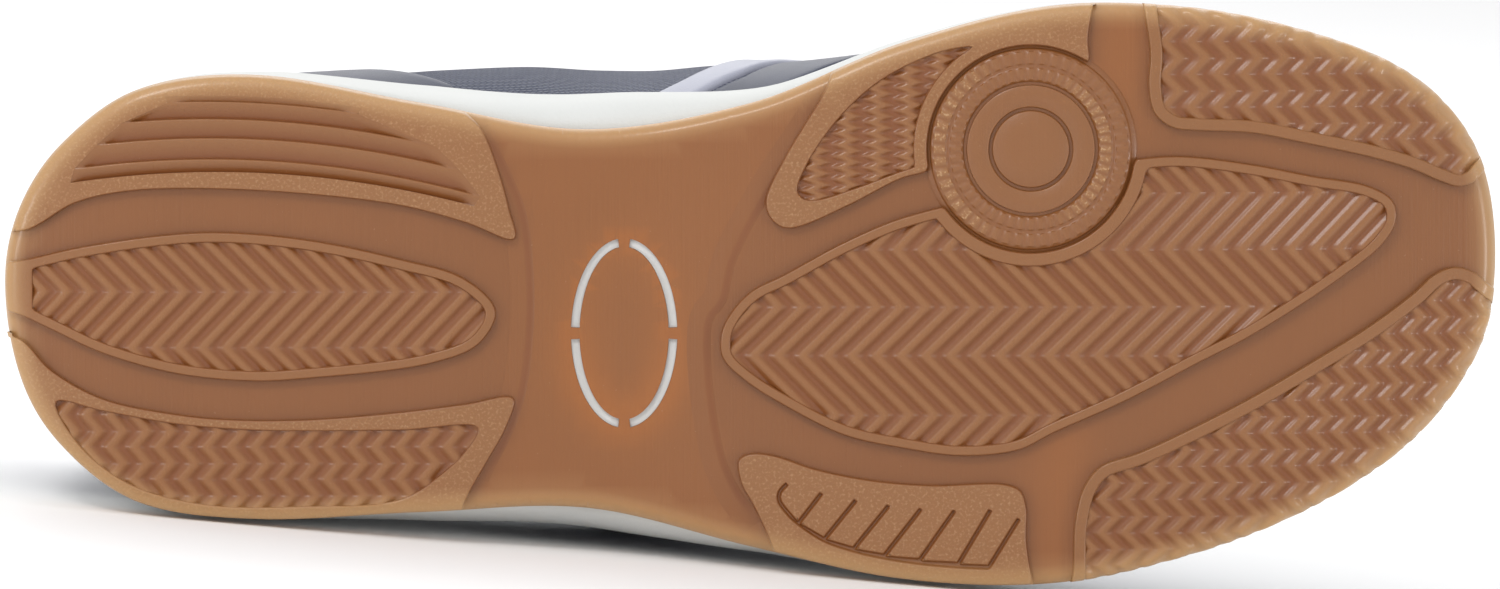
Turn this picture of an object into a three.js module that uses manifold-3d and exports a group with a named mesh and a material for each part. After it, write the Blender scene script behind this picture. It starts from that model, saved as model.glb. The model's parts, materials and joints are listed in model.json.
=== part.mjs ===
// A left indoor court shoe with a gum rubber outsole, lying on its lateral side.
// It is modelled upright in millimetres: x runs from heel to toe, y to the lateral side and z up
// from the ground. The last function settles it on its lateral side, sole towards -Y.
import * as THREE from "three";
import { ConvexHull } from "three/addons/math/ConvexHull.js";
import { mergeVertices } from "three/addons/utils/BufferGeometryUtils.js";
import Module from "manifold-3d";

const wasm = await Module();
wasm.setup();

// Driving sizes of the sole
const SOLE_LENGTH = 275;
const BALL_WIDTH = 107;
const WAIST_WIDTH = 70;
const HEEL_WIDTH = 82;
const TOE_SPRING = 11;
const HEEL_BEVEL = 3;
const ARCH_LIFT = 2.5;
const OUTSOLE_THICKNESS = 5.2;
const LUG_DEPTH = 1.6;
const LUG_ROOT = 0.4;
const LUG_DRAFT = 0.05;
const GROOVE_DEPTH = 0.9;
const EDGE_ROUND = 2.4;
const RAND_HEIGHT = 8;
const RAND_WALL = 2.2;
const RAND_DRAFT = 0.4;
const SEAT_DRAFT = 0.3;
const HEEL_STACK = 24;
const FOREFOOT_STACK = 13.5;
const RIM_HEIGHT = 7;
const RIM_LIP = 3.2;
const RIM_LEAN = 0.6;
const WAIST_FLARE = 9;
const MIDSOLE_TUCK = 2;
const WELL_GAP = 0.4;
const INSOLE_THICKNESS = 4;
const INSOLE_DISH = 2;
const INSOLE_BOWL = 9;
const INSOLE_GAP = 0.9;

// Driving sizes of the tread
const PIVOT_DISC_RADIUS = 7;
const PIVOT_RING_RADIUS = 11.7;
const PIVOT_OUTER_RADIUS = 18.2;
const PIVOT_MOAT = 1.1;
const WINDOW_LENGTH = 35;
const WINDOW_WIDTH = 19.6;
const WINDOW_SLOT = 1.6;
const WINDOW_BRIDGE = 2.2;
const HEEL_GROOVE_WIDTH = 1.5;
const COMB_GROOVE_WIDTH = 0.8;

// Driving sizes of the upper
const WALL = 2.6;
const COLLAR_PAD = 5;
const FEATHER_INSET = 7;
const HEEL_BACK_HEIGHT = 66;
const ANKLE_HEIGHT = 50;
const INSTEP_HEIGHT = 78;
const VAMP_HEIGHT = 47;
const TOE_BOX_HEIGHT = 34;
const COLLAR_WIDTH = 62;
const THROAT_WIDTH = 20;
const OVERLAY = 1.2;
const TONGUE_THICKNESS = 5;
const TONGUE_WIDTH = 50;
const TONGUE_RISE = 20;
const EYELET_ROWS = 6;
const EYELET_RADIUS = 2.2;
const LACE_WIDTH = 7;
const LACE_THICKNESS = 1.6;
const GAP = 0.3;
const OVERLAY_GAP = 0.65;
const TONGUE_GAP = 1;

// Places along the sole, as shares of its length
const HEEL_FLAT = { from: 0.09, to: 0.29 };
const BALL_FLAT = { from: 0.55, to: 0.74 };
const THROAT_FRONT = 0.67;
const THROAT_TOP = 0.44;
const PAD_ENDS_AT = 0.43;
const PIVOT_AT = 0.687;
const PIVOT_ACROSS = -0.263;
const WINDOW_AT = 0.415;
const WINDOW_ACROSS = 0.085;

// The sole's edge from heel to toe, as shares of the width each row follows. Lateral is positive.
const SOLE_EDGE = [
  { at: 0, of: HEEL_WIDTH, medial: -0.044, lateral: -0.044 },
  { at: 0.013, of: HEEL_WIDTH, medial: -0.232, lateral: 0.196 },
  { at: 0.038, of: HEEL_WIDTH, medial: -0.352, lateral: 0.326 },
  { at: 0.09, of: HEEL_WIDTH, medial: -0.476, lateral: 0.453 },
  { at: 0.17, of: HEEL_WIDTH, medial: -0.508, lateral: 0.491 },
  { at: 0.28, of: HEEL_WIDTH, medial: -0.445, lateral: 0.475 },
  { at: 0.39, of: WAIST_WIDTH, medial: -0.451, lateral: 0.547 },
  { at: 0.5, of: BALL_WIDTH, medial: -0.341, lateral: 0.424 },
  { at: 0.6, of: BALL_WIDTH, medial: -0.444, lateral: 0.479 },
  { at: 0.7, of: BALL_WIDTH, medial: -0.508, lateral: 0.487 },
  { at: 0.79, of: BALL_WIDTH, medial: -0.506, lateral: 0.44 },
  { at: 0.87, of: BALL_WIDTH, medial: -0.465, lateral: 0.364 },
  { at: 0.94, of: BALL_WIDTH, medial: -0.392, lateral: 0.251 },
  { at: 0.98, of: BALL_WIDTH, medial: -0.29, lateral: 0.129 },
  { at: 0.995, of: BALL_WIDTH, medial: -0.197, lateral: 0.042 },
  { at: 1, of: BALL_WIDTH, medial: -0.075, lateral: -0.075 },
];

// How far the midsole stands out past the sole's edge, and how far the upper's foot sits inside it
const SIDE_STEPS = [
  { at: 0, flareMedial: 0.02, flareLateral: 0.02, insetMedial: 0.93, insetLateral: 0.93 },
  { at: 0.15, flareMedial: 0.05, flareLateral: 0.05, insetMedial: 0.93, insetLateral: 0.93 },
  { at: 0.29, flareMedial: 0.5, flareLateral: 0.5, insetMedial: 0.5, insetLateral: 0.6 },
  { at: 0.41, flareMedial: 0.9, flareLateral: 0.72, insetMedial: -0.05, insetLateral: 0.15 },
  { at: 0.53, flareMedial: 0.25, flareLateral: 0.2, insetMedial: 0.55, insetLateral: 0.8 },
  { at: 0.65, flareMedial: 0.05, flareLateral: 0.05, insetMedial: 0.95, insetLateral: 0.95 },
  { at: 0.85, flareMedial: 0, flareLateral: 0, insetMedial: 1, insetLateral: 1 },
  { at: 1, flareMedial: 0, flareLateral: 0, insetMedial: 0.95, insetLateral: 0.95 },
];

// The upper's sections from heel to toe. top is where the section ends, along the sole, height is
// that end above the footbed, open is its half opening, and belly and shoulder are how far the
// section stands out low down and below its end, as shares of the ball width. rise and drop are
// their places, as shares of the section's height.
const SECTIONS = [
  { at: 0, top: 0.032, of: HEEL_BACK_HEIGHT, height: 1, across: COLLAR_WIDTH, open: 0,
    bellyMedial: 0.06, bellyLateral: 0.06, rise: 0.38, shoulder: 0.045, drop: 0.45 },
  { at: 0.035, top: 0.045, of: HEEL_BACK_HEIGHT, height: 0.995, across: COLLAR_WIDTH, open: 0.29,
    bellyMedial: 0.055, bellyLateral: 0.055, rise: 0.38, shoulder: 0.045, drop: 0.45 },
  { at: 0.11, top: 0.1, of: HEEL_BACK_HEIGHT, height: 0.93, across: COLLAR_WIDTH, open: 0.455,
    bellyMedial: 0.05, bellyLateral: 0.05, rise: 0.4, shoulder: 0.04, drop: 0.42 },
  { at: 0.19, top: 0.185, of: ANKLE_HEIGHT, height: 1.04, across: COLLAR_WIDTH, open: 0.5,
    bellyMedial: 0.06, bellyLateral: 0.06, rise: 0.4, shoulder: 0.035, drop: 0.4 },
  { at: 0.27, top: 0.265, of: ANKLE_HEIGHT, height: 1, across: COLLAR_WIDTH, open: 0.505,
    bellyMedial: 0.11, bellyLateral: 0.07, rise: 0.42, shoulder: 0.05, drop: 0.38 },
  { at: 0.34, top: 0.335, of: ANKLE_HEIGHT, height: 1.14, across: COLLAR_WIDTH, open: 0.46,
    bellyMedial: 0.155, bellyLateral: 0.11, rise: 0.42, shoulder: 0.1, drop: 0.34 },
  { at: 0.4, top: 0.4, of: INSTEP_HEIGHT, height: 0.93, across: THROAT_WIDTH, open: 1.16,
    bellyMedial: 0.13, bellyLateral: 0.14, rise: 0.4, shoulder: 0.17, drop: 0.27 },
  { at: 0.44, top: 0.44, of: INSTEP_HEIGHT, height: 1, across: THROAT_WIDTH, open: 0.84,
    bellyMedial: 0.13, bellyLateral: 0.14, rise: 0.38, shoulder: 0.23, drop: 0.21 },
  { at: 0.5, top: 0.5, of: INSTEP_HEIGHT, height: 0.915, across: THROAT_WIDTH, open: 0.66,
    bellyMedial: 0.15, bellyLateral: 0.12, rise: 0.38, shoulder: 0.26, drop: 0.15 },
  { at: 0.58, top: 0.58, of: VAMP_HEIGHT, height: 1.27, across: THROAT_WIDTH, open: 0.55,
    bellyMedial: 0.09, bellyLateral: 0.06, rise: 0.4, shoulder: 0.25, drop: 0.09 },
  { at: 0.64, top: 0.64, of: VAMP_HEIGHT, height: 1.08, across: THROAT_WIDTH, open: 0.44,
    bellyMedial: 0.04, bellyLateral: 0.03, rise: 0.44, shoulder: 0.25, drop: 0.03 },
  { at: 0.67, top: 0.67, of: VAMP_HEIGHT, height: 1, across: THROAT_WIDTH, open: 0,
    bellyMedial: 0.03, bellyLateral: 0.025, rise: 0.46, shoulder: 0.25, drop: 0 },
  { at: 0.73, top: 0.728, of: VAMP_HEIGHT, height: 0.905, across: THROAT_WIDTH, open: 0,
    bellyMedial: 0.02, bellyLateral: 0.02, rise: 0.48, shoulder: 0.25, drop: 0 },
  { at: 0.8, top: 0.785, of: TOE_BOX_HEIGHT, height: 1.11, across: THROAT_WIDTH, open: 0,
    bellyMedial: 0.015, bellyLateral: 0.015, rise: 0.5, shoulder: 0.25, drop: 0 },
  { at: 0.88, top: 0.83, of: TOE_BOX_HEIGHT, height: 1.01, across: THROAT_WIDTH, open: 0,
    bellyMedial: 0.015, bellyLateral: 0.015, rise: 0.52, shoulder: 0.22, drop: 0 },
  { at: 0.95, top: 0.86, of: TOE_BOX_HEIGHT, height: 0.92, across: THROAT_WIDTH, open: 0,
    bellyMedial: 0.015, bellyLateral: 0.015, rise: 0.56, shoulder: 0.19, drop: 0 },
  { at: 1, top: 0.885, of: TOE_BOX_HEIGHT, height: 0.83, across: THROAT_WIDTH, open: 0,
    bellyMedial: 0.012, bellyLateral: 0.012, rise: 0.6, shoulder: 0.14, drop: 0 },
];

// The lugs' outlines. x is a share of the sole's length, y of the width named in of.
const HEEL_RIB_LUG = { of: HEEL_WIDTH, points: [
  [-0.02, -0.2], [0.011, -0.158], [0.048, -0.222], [0.082, -0.248], [0.134, -0.254], [0.203, -0.242],
  [0.266, -0.216], [0.309, -0.178], [0.342, -0.14], [0.338, -0.21], [0.332, -0.285], [0.32, -0.386],
  [0.305, -0.44], [0.29, -0.56], [0.12, -0.62], [-0.03, -0.5]] };
const HEEL_CENTRE_LUG = { of: HEEL_WIDTH, points: [
  [0.011, -0.03], [0.018, -0.085], [0.048, -0.12], [0.1, -0.147], [0.143, -0.156], [0.203, -0.139],
  [0.266, -0.095], [0.308, -0.052], [0.329, 0.02], [0.318, 0.094], [0.286, 0.138], [0.203, 0.172],
  [0.168, 0.178], [0.117, 0.162], [0.066, 0.115], [0.032, 0.063], [0.014, 0.02]] };
const HEEL_SIDE_LUG = { of: HEEL_WIDTH, points: [
  [-0.02, 0.02], [0.01, 0.092], [0.032, 0.156], [0.066, 0.218], [0.117, 0.254], [0.152, 0.265],
  [0.203, 0.265], [0.266, 0.248], [0.309, 0.23], [0.341, 0.217], [0.336, 0.282], [0.322, 0.366],
  [0.309, 0.444], [0.295, 0.56], [0.12, 0.6], [-0.03, 0.45]] };
const BALL_CENTRE_LUG = { of: BALL_WIDTH, points: [
  [0.48, 0.057], [0.486, 0.022], [0.5, -0.017], [0.522, -0.046], [0.559, -0.098], [0.596, -0.14],
  [0.64, -0.172], [0.7, -0.22], [0.757, -0.245], [0.788, -0.25], [0.836, -0.235], [0.875, -0.215],
  [0.914, -0.196], [0.93, -0.17], [0.932, -0.136], [0.923, -0.097], [0.894, -0.038], [0.836, 0.057],
  [0.798, 0.107], [0.75, 0.171], [0.702, 0.226], [0.679, 0.255], [0.64, 0.265], [0.602, 0.252],
  [0.563, 0.23], [0.524, 0.181], [0.496, 0.136], [0.481, 0.097]] };
const MEDIAL_LUG = { of: BALL_WIDTH, points: [
  [0.51, -0.176], [0.512, -0.148], [0.52, -0.129], [0.53, -0.128], [0.565, -0.166], [0.6, -0.212],
  [0.618, -0.226], [0.66, -0.3], [0.7, -0.37], [0.725, -0.41], [0.725, -0.45], [0.725, -0.6],
  [0.6, -0.6], [0.56, -0.44], [0.55, -0.366], [0.537, -0.31], [0.523, -0.25]] };
const TOE_MEDIAL_LUG = { of: BALL_WIDTH, points: [
  [0.768, -0.6], [0.767, -0.42], [0.766, -0.369], [0.77, -0.324], [0.782, -0.3], [0.798, -0.295],
  [0.836, -0.29], [0.875, -0.27], [0.914, -0.248], [0.943, -0.226], [0.962, -0.205], [0.975, -0.195],
  [0.985, -0.203], [0.992, -0.222], [1.03, -0.3], [0.98, -0.5], [0.9, -0.6]] };
const TOE_LATERAL_LUG = { of: BALL_WIDTH, points: [
  [0.716, 0.6], [0.716, 0.458], [0.717, 0.379], [0.723, 0.319], [0.734, 0.284], [0.76, 0.26],
  [0.798, 0.215], [0.836, 0.165], [0.875, 0.107], [0.914, 0.046], [0.944, -0.01], [0.958, -0.042],
  [0.971, -0.055], [0.984, -0.047], [0.996, -0.022], [1.03, 0.05], [0.95, 0.4], [0.85, 0.6]] };
const COMB_LUG = { of: BALL_WIDTH, points: [
  [0.492, 0.279], [0.5, 0.27], [0.515, 0.274], [0.544, 0.3], [0.582, 0.319], [0.621, 0.327],
  [0.669, 0.324], [0.68, 0.334], [0.684, 0.359], [0.684, 0.404], [0.684, 0.6], [0.54, 0.6],
  [0.513, 0.414], [0.502, 0.353], [0.493, 0.31]] };
const LUGS = [HEEL_RIB_LUG, HEEL_CENTRE_LUG, HEEL_SIDE_LUG, BALL_CENTRE_LUG, MEDIAL_LUG, TOE_MEDIAL_LUG,
  TOE_LATERAL_LUG, COMB_LUG];

// Each groove is a line of points. The heel's run along it and the comb's slant across its lug.
const HEEL_GROOVES = { of: HEEL_WIDTH, width: HEEL_GROOVE_WIDTH, lines: [
  [[0.11, -0.447], [0.17, -0.445], [0.235, -0.42]],
  [[0.082, -0.403], [0.17, -0.398], [0.285, -0.36]],
  [[0.064, -0.359], [0.17, -0.357], [0.3, -0.3]],
  [[0.05, -0.306], [0.17, -0.314], [0.31, -0.245]]] };
const COMB_GROOVES = { of: BALL_WIDTH, width: COMB_GROOVE_WIDTH, lines: [0, 1, 2, 3, 4, 5].map((n) => [
  [0.545 + n * 0.0226, 0.328 + n * 0.0045], [0.533 + n * 0.0235, 0.372 + n * 0.014]]) };

// The patches on the upper, as a strip of stations each with its lower and upper edge on the
// section: 0 is the midsole's rim and 1 the section's end.
const TOE_CAP = [
  { at: 0.86, low: 0.02, high: 0.1 }, { at: 0.9, low: 0.02, high: 0.26 },
  { at: 0.95, low: 0.02, high: 0.44 }, { at: 1, low: 0.02, high: 0.56 }];
const HEEL_COUNTER = [
  { at: 0, low: 0.02, high: 0.7 }, { at: 0.06, low: 0.02, high: 0.68 },
  { at: 0.16, low: 0.02, high: 0.56 }, { at: 0.24, low: 0.02, high: 0.34 },
  { at: 0.3, low: 0.02, high: 0.12 }];
const LATERAL_BAND = [
  { at: 0.47, low: 0.6, high: 0.74 }, { at: 0.53, low: 0.36, high: 0.6 },
  { at: 0.59, low: 0.16, high: 0.4 }, { at: 0.65, low: 0.03, high: 0.2 }];
const MEDIAL_BAND = [
  { at: 0.425, low: 0.03, high: 0.05 }, { at: 0.46, low: 0.05, high: 0.16 },
  { at: 0.5, low: 0.17, high: 0.3 }, { at: 0.54, low: 0.33, high: 0.46 },
  { at: 0.6, low: 0.5, high: 0.62 }, { at: 0.65, low: 0.6, high: 0.7 }];
const EYESTAY = [
  { at: 0.42, low: 0.84, high: 1 }, { at: 0.5, low: 0.8, high: 1 }, { at: 0.6, low: 0.76, high: 1 },
  { at: 0.66, low: 0.76, high: 1 }, { at: 0.685, low: 0.84, high: 1 }, { at: 0.7, low: 0.95, high: 1 }];

// The mesh's steps
const STEPS_TO_THROAT = 18;
const STEPS_TO_TOE = 11;
const SECTION_STEPS = 8;
const SPLINE_STEPS = 2;
const PIN_SIDES = 6;
const LACE_STEPS = 4;
const PATCH_STEPS = 3;
const SLANT_STEPS = 3;

// Two places along the sole closer than this are one
const SAME = 1e-6;

const { lerp, clamp } = THREE.MathUtils;
const V = (x, y, z) => new THREE.Vector3(x, y, z);
const ease = (t) => clamp(t, 0, 1) ** 2 * (3 - 2 * clamp(t, 0, 1));
const turnOf = (share) => Math.acos(1 - 2 * clamp(share, 0, 1)) / Math.PI;
const shareOf = (turn) => (1 - Math.cos(Math.PI * turn)) / 2;

// A smooth function of the place along the sole, through a table's rows
function through(rows, value) {
  const turns = rows.map((row) => turnOf(row.at));
  const values = rows.map(value);
  const slope = (i) => {
    const a = Math.max(i - 1, 0);
    const b = Math.min(i + 1, rows.length - 1);
    return (values[b] - values[a]) / (turns[b] - turns[a]);
  };
  return (share) => {
    const turn = turnOf(share);
    let i = turns.findIndex((t) => t > turn) - 1;
    if (i < 0) i = rows.length - 2;
    const span = turns[i + 1] - turns[i];
    const t = (turn - turns[i]) / span;
    const u = 1 - t;
    return (
      values[i] * u * u * (1 + 2 * t) + values[i + 1] * t * t * (3 - 2 * t) +
      span * t * u * (slope(i) * u - slope(i + 1) * t)
    );
  };
}

// Straight between a table's rows
function between(rows, column) {
  return (share) => {
    let i = rows.findIndex((row) => row.at >= share);
    if (i <= 0) i = 1;
    const [a, b] = [rows[i - 1], rows[i]];
    return lerp(a[column], b[column], clamp((share - a.at) / (b.at - a.at), 0, 1));
  };
}

const SIDES = ["Lateral", "Medial"];
const edgeOf = {
  Lateral: through(SOLE_EDGE, (row) => row.lateral * row.of),
  Medial: through(SOLE_EDGE, (row) => row.medial * row.of),
};
const sideStep = (column) => ({
  Lateral: through(SIDE_STEPS, (row) => row[column + "Lateral"]),
  Medial: through(SIDE_STEPS, (row) => row[column + "Medial"]),
});
const flareOf = sideStep("flare");
const insetOf = sideStep("inset");

// The outward direction of the sole's edge in plan
function edgeNormal(side, share) {
  const step = 0.002;
  const turn = clamp(turnOf(share), step, 1 - step);
  const [a, b] = [shareOf(turn - step), shareOf(turn + step)];
  if (share === 0) return V(-1, 0, 0);
  if (share === 1) return V(1, 0, 0);
  const along = V((b - a) * SOLE_LENGTH, edgeOf[side](b) - edgeOf[side](a), 0).normalize();
  return side === "Lateral" ? V(-along.y, along.x, 0) : V(along.y, -along.x, 0);
}

const edgePoint = (side, share, out, z) =>
  V(share * SOLE_LENGTH, edgeOf[side](share), z).addScaledVector(edgeNormal(side, share), out);

// Heights above the ground: the tread's plane with its heel bevel, arch and toe spring, and the footbed
const toeRise = (share) => TOE_SPRING * Math.max(0, (share - BALL_FLAT.to) / (1 - BALL_FLAT.to)) ** 1.8;
function ground(share) {
  const bevel = HEEL_BEVEL * Math.max(0, 1 - share / HEEL_FLAT.from) ** 2;
  const waist = clamp((share - HEEL_FLAT.to) / (BALL_FLAT.from - HEEL_FLAT.to), 0, 1);
  return bevel + ARCH_LIFT * Math.sin(Math.PI * waist) ** 2 + toeRise(share);
}
const footbed = (share) =>
  lerp(HEEL_STACK, FOREFOOT_STACK, ease((share - 0.15) / 0.47)) + 0.9 * toeRise(share);

// The stations along the shoe, dense at both ends, with one on each side of the throat's front
const frontTurn = turnOf(THROAT_FRONT);
const STATIONS = [
  ...Array.from({ length: STEPS_TO_THROAT }, (_, i) => shareOf((frontTurn * i) / STEPS_TO_THROAT)),
  THROAT_FRONT - 0.012,
  ...Array.from({ length: STEPS_TO_TOE + 1 }, (_, i) => shareOf(lerp(frontTurn, 1, i / STEPS_TO_TOE))),
];
STATIONS[0] = 0;
STATIONS[STATIONS.length - 1] = 1;
const LAST = STATIONS.length - 1;

// Solids from points and triangles

function geometryOf(points, triangles) {
  const geometry = new THREE.BufferGeometry().setFromPoints(points);
  geometry.setIndex(triangles.flat());
  const volume = triangles.reduce((sum, [a, b, c]) =>
    sum + points[a].dot(V(0, 0, 0).crossVectors(points[b], points[c])), 0);
  if (volume < 0) geometry.setIndex(triangles.map(([a, b, c]) => [a, c, b]).flat());
  return geometry;
}

function solidOf(geometry) {
  const bare = geometry.clone();
  bare.deleteAttribute("normal");
  bare.deleteAttribute("uv");
  const merged = mergeVertices(bare, 1e-4);
  return new wasm.Manifold(new wasm.Mesh({
    numProp: 3,
    vertProperties: new Float32Array(merged.attributes.position.array),
    triVerts: new Uint32Array(merged.index.array),
  }));
}

function geometryOfSolid(solid) {
  const mesh = solid.getMesh();
  const positions = [];
  for (let i = 0; i < mesh.numVert; i++) {
    positions.push(...mesh.vertProperties.slice(i * mesh.numProp, i * mesh.numProp + 3));
  }
  return new THREE.BufferGeometry()
    .setAttribute("position", new THREE.Float32BufferAttribute(positions, 3))
    .setIndex([...mesh.triVerts]);
}

const joined = (solids) => solids.reduce((a, b) => a.add(b));

// A closed ring of points round the shoe: the heel, the lateral side, the toe, the medial side
function ring(point) {
  const lateral = STATIONS.map((share, i) => point("Lateral", share, i));
  const medial = STATIONS.map((share, i) => point("Medial", share, i)).slice(1, LAST).reverse();
  return [...lateral, ...medial];
}

// A solid between rings, closed below the first and above the last by strips across the shoe
function stack(rings) {
  const count = 2 * LAST;
  const points = rings.flat();
  const triangles = [];
  rings.slice(1).forEach((_, k) => {
    for (let i = 0; i < count; i++) {
      const [a, b] = [k * count + i, k * count + ((i + 1) % count)];
      triangles.push([a, b, b + count], [a, b + count, a + count]);
    }
  });
  const cap = (start, flip) => {
    for (let i = 0; i < LAST; i++) {
      const across = (n) => start + ((count - n) % count);
      const strip = [[start + i, start + i + 1, across(i + 1)], [start + i, across(i + 1), across(i)]];
      strip.filter(([a, b, c]) => a !== b && b !== c && a !== c)
        .forEach(([a, b, c]) => triangles.push(flip ? [a, c, b] : [a, b, c]));
    }
  };
  cap(0, true);
  cap((rings.length - 1) * count, false);
  return geometryOf(points, triangles);
}

// A surface made solid between two points for each of its corners, with walls along its open edges
function thickened(triangles, outer, inner) {
  const count = outer.length;
  const edges = new Set(triangles.flatMap(([a, b, c]) => [`${a},${b}`, `${b},${c}`, `${c},${a}`]));
  const walls = [...edges].map((edge) => edge.split(",").map(Number))
    .filter(([a, b]) => !edges.has(`${b},${a}`))
    .flatMap(([a, b]) => [[b, a, a + count], [b, a + count, b + count]]);
  const backs = triangles.map(([a, b, c]) => [a + count, c + count, b + count]);
  return geometryOf([...outer, ...inner], [...triangles, ...backs, ...walls]);
}

// The outsole: a tray with a rand round its edge, lugs below it and a window in its waist

function outsoleTray() {
  const level = (out, z) => ring((side, share) => edgePoint(side, share, out, ground(share) + z));
  return solidOf(stack([
    level(-EDGE_ROUND, LUG_DEPTH),
    level(-EDGE_ROUND * 0.3, LUG_DEPTH + EDGE_ROUND * 0.3),
    level(0, LUG_DEPTH + EDGE_ROUND),
    level(-RAND_DRAFT, RAND_HEIGHT),
    level(-RAND_WALL, RAND_HEIGHT),
    level(-RAND_WALL - SEAT_DRAFT, OUTSOLE_THICKNESS),
  ]));
}

// A layer of the tread, from the ground plane up to a depth in the rubber
function treadLayer(depth, below) {
  const level = (out, z) => ring((side, share) => edgePoint(side, share, out, ground(share) + z));
  return solidOf(stack([
    level(-EDGE_ROUND, -below),
    level(-EDGE_ROUND, 0),
    level(-EDGE_ROUND * 0.3, EDGE_ROUND * 0.3),
    level(-LUG_DRAFT, depth + EDGE_ROUND * 0.6),
    level(-EDGE_ROUND, depth),
  ]));
}

const PRISM_DEPTH = 60;

function prism(shape, segments) {
  const geometry = new THREE.ExtrudeGeometry(shape, {
    depth: PRISM_DEPTH, bevelEnabled: false, curveSegments: segments, steps: 1,
  });
  geometry.translate(0, 0, -PRISM_DEPTH / 2);
  return solidOf(geometry);
}

function lugPrism({ of, points }) {
  const corners = points.map(([x, y]) => new THREE.Vector2(x * SOLE_LENGTH, y * of));
  const curve = new THREE.CatmullRomCurve3([...corners].map((p) => V(p.x, p.y, 0)), true, "centripetal");
  const outline = curve.getPoints(points.length * SPLINE_STEPS).slice(0, -1);
  return prism(new THREE.Shape(outline.map((p) => new THREE.Vector2(p.x, p.y))), 1);
}

function groovePrism(line, of, width) {
  const points = line.map(([x, y]) => V(x * SOLE_LENGTH, y * of, 0));
  const path = new THREE.CatmullRomCurve3(points).getPoints(4 * (line.length - 1));
  const sideOf = (i, sign) => {
    const along = path[Math.min(i + 1, path.length - 1)].clone().sub(path[Math.max(i - 1, 0)]).normalize();
    const taper = i === 0 || i === path.length - 1 ? 0.3 : 1;
    const reach = (sign * taper * width) / 2;
    return new THREE.Vector2(path[i].x - along.y * reach, path[i].y + along.x * reach);
  };
  const there = path.map((_, i) => sideOf(i, 1));
  const back = path.map((_, i) => sideOf(i, -1)).reverse();
  return prism(new THREE.Shape([...there, ...back]), 1);
}

const pivotCentre = V(PIVOT_AT * SOLE_LENGTH, PIVOT_ACROSS * BALL_WIDTH, 0);
const windowCentre = V(WINDOW_AT * SOLE_LENGTH, WINDOW_ACROSS * WAIST_WIDTH, 0);

function annulus(centre, outer, inner) {
  const shape = new THREE.Shape().absarc(centre.x, centre.y, outer, 0, 2 * Math.PI);
  if (inner) shape.holes.push(new THREE.Path().absarc(centre.x, centre.y, inner, 0, 2 * Math.PI, true));
  return prism(shape, 16);
}

// Four arcs of an oval cut right through the waist, with a bridge of rubber between them
function windowSlots() {
  const shape = new THREE.Shape()
    .absellipse(windowCentre.x, windowCentre.y, WINDOW_WIDTH / 2, WINDOW_LENGTH / 2, 0, 2 * Math.PI);
  shape.holes.push(new THREE.Path().absellipse(windowCentre.x, windowCentre.y,
    WINDOW_WIDTH / 2 - WINDOW_SLOT, WINDOW_LENGTH / 2 - WINDOW_SLOT, 0, 2 * Math.PI, true));
  const bridge = (across, along) => solidOf(new THREE.BoxGeometry(across, along, 2 * PRISM_DEPTH)
    .translate(windowCentre.x, windowCentre.y, 0));
  return prism(shape, 12)
    .subtract(bridge(WINDOW_BRIDGE, 2 * WINDOW_LENGTH))
    .subtract(bridge(2 * WINDOW_WIDTH, WINDOW_BRIDGE));
}

function outsole() {
  const pivotLand = annulus(pivotCentre, PIVOT_OUTER_RADIUS);
  const lugs = joined(LUGS.map(lugPrism))
    .subtract(annulus(pivotCentre, PIVOT_OUTER_RADIUS + PIVOT_MOAT))
    .add(pivotLand);
  const lands = treadLayer(LUG_DEPTH + LUG_ROOT, 0).intersect(lugs);
  const ringMoat = (radius) => annulus(pivotCentre, radius + PIVOT_MOAT / 2, radius - PIVOT_MOAT / 2);
  const grooves = joined([
    ...HEEL_GROOVES.lines.map((line) => groovePrism(line, HEEL_GROOVES.of, HEEL_GROOVES.width)),
    ...COMB_GROOVES.lines.map((line) => groovePrism(line, COMB_GROOVES.of, COMB_GROOVES.width)),
    ringMoat(PIVOT_DISC_RADIUS),
    ringMoat(PIVOT_RING_RADIUS),
  ]);
  const cut = treadLayer(GROOVE_DEPTH, 1).intersect(grooves);
  return geometryOfSolid(outsoleTray().add(lands).subtract(cut).subtract(windowSlots()));
}

// The upper's surface, as a grid of points with one column for each station and side

const sectionOf = Object.fromEntries(["top", "rise", "drop"].map((column) =>
  [column, through(SECTIONS, (row) => row[column])]));
sectionOf.height = through(SECTIONS, (row) => row.height * row.of);
sectionOf.open = through(SECTIONS, (row) => row.open * row.across);
sectionOf.shoulder = through(SECTIONS, (row) => row.shoulder * BALL_WIDTH);
const bellyOf = {
  Lateral: through(SECTIONS, (row) => row.bellyLateral * BALL_WIDTH),
  Medial: through(SECTIONS, (row) => row.bellyMedial * BALL_WIDTH),
};
const isClosed = (share) => share >= THROAT_FRONT - SAME;
const topHeight = (share) => footbed(sectionOf.top(share)) + sectionOf.height(share);

// The centre line that the section's ends follow, from the heel's tip to the toe's
const centreLine = (share) =>
  lerp(edgeOf.Lateral(0), 0, ease(share / 0.1)) + (edgeOf.Lateral(1) * ease((share - 0.6) / 0.4)) / 2;

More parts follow.
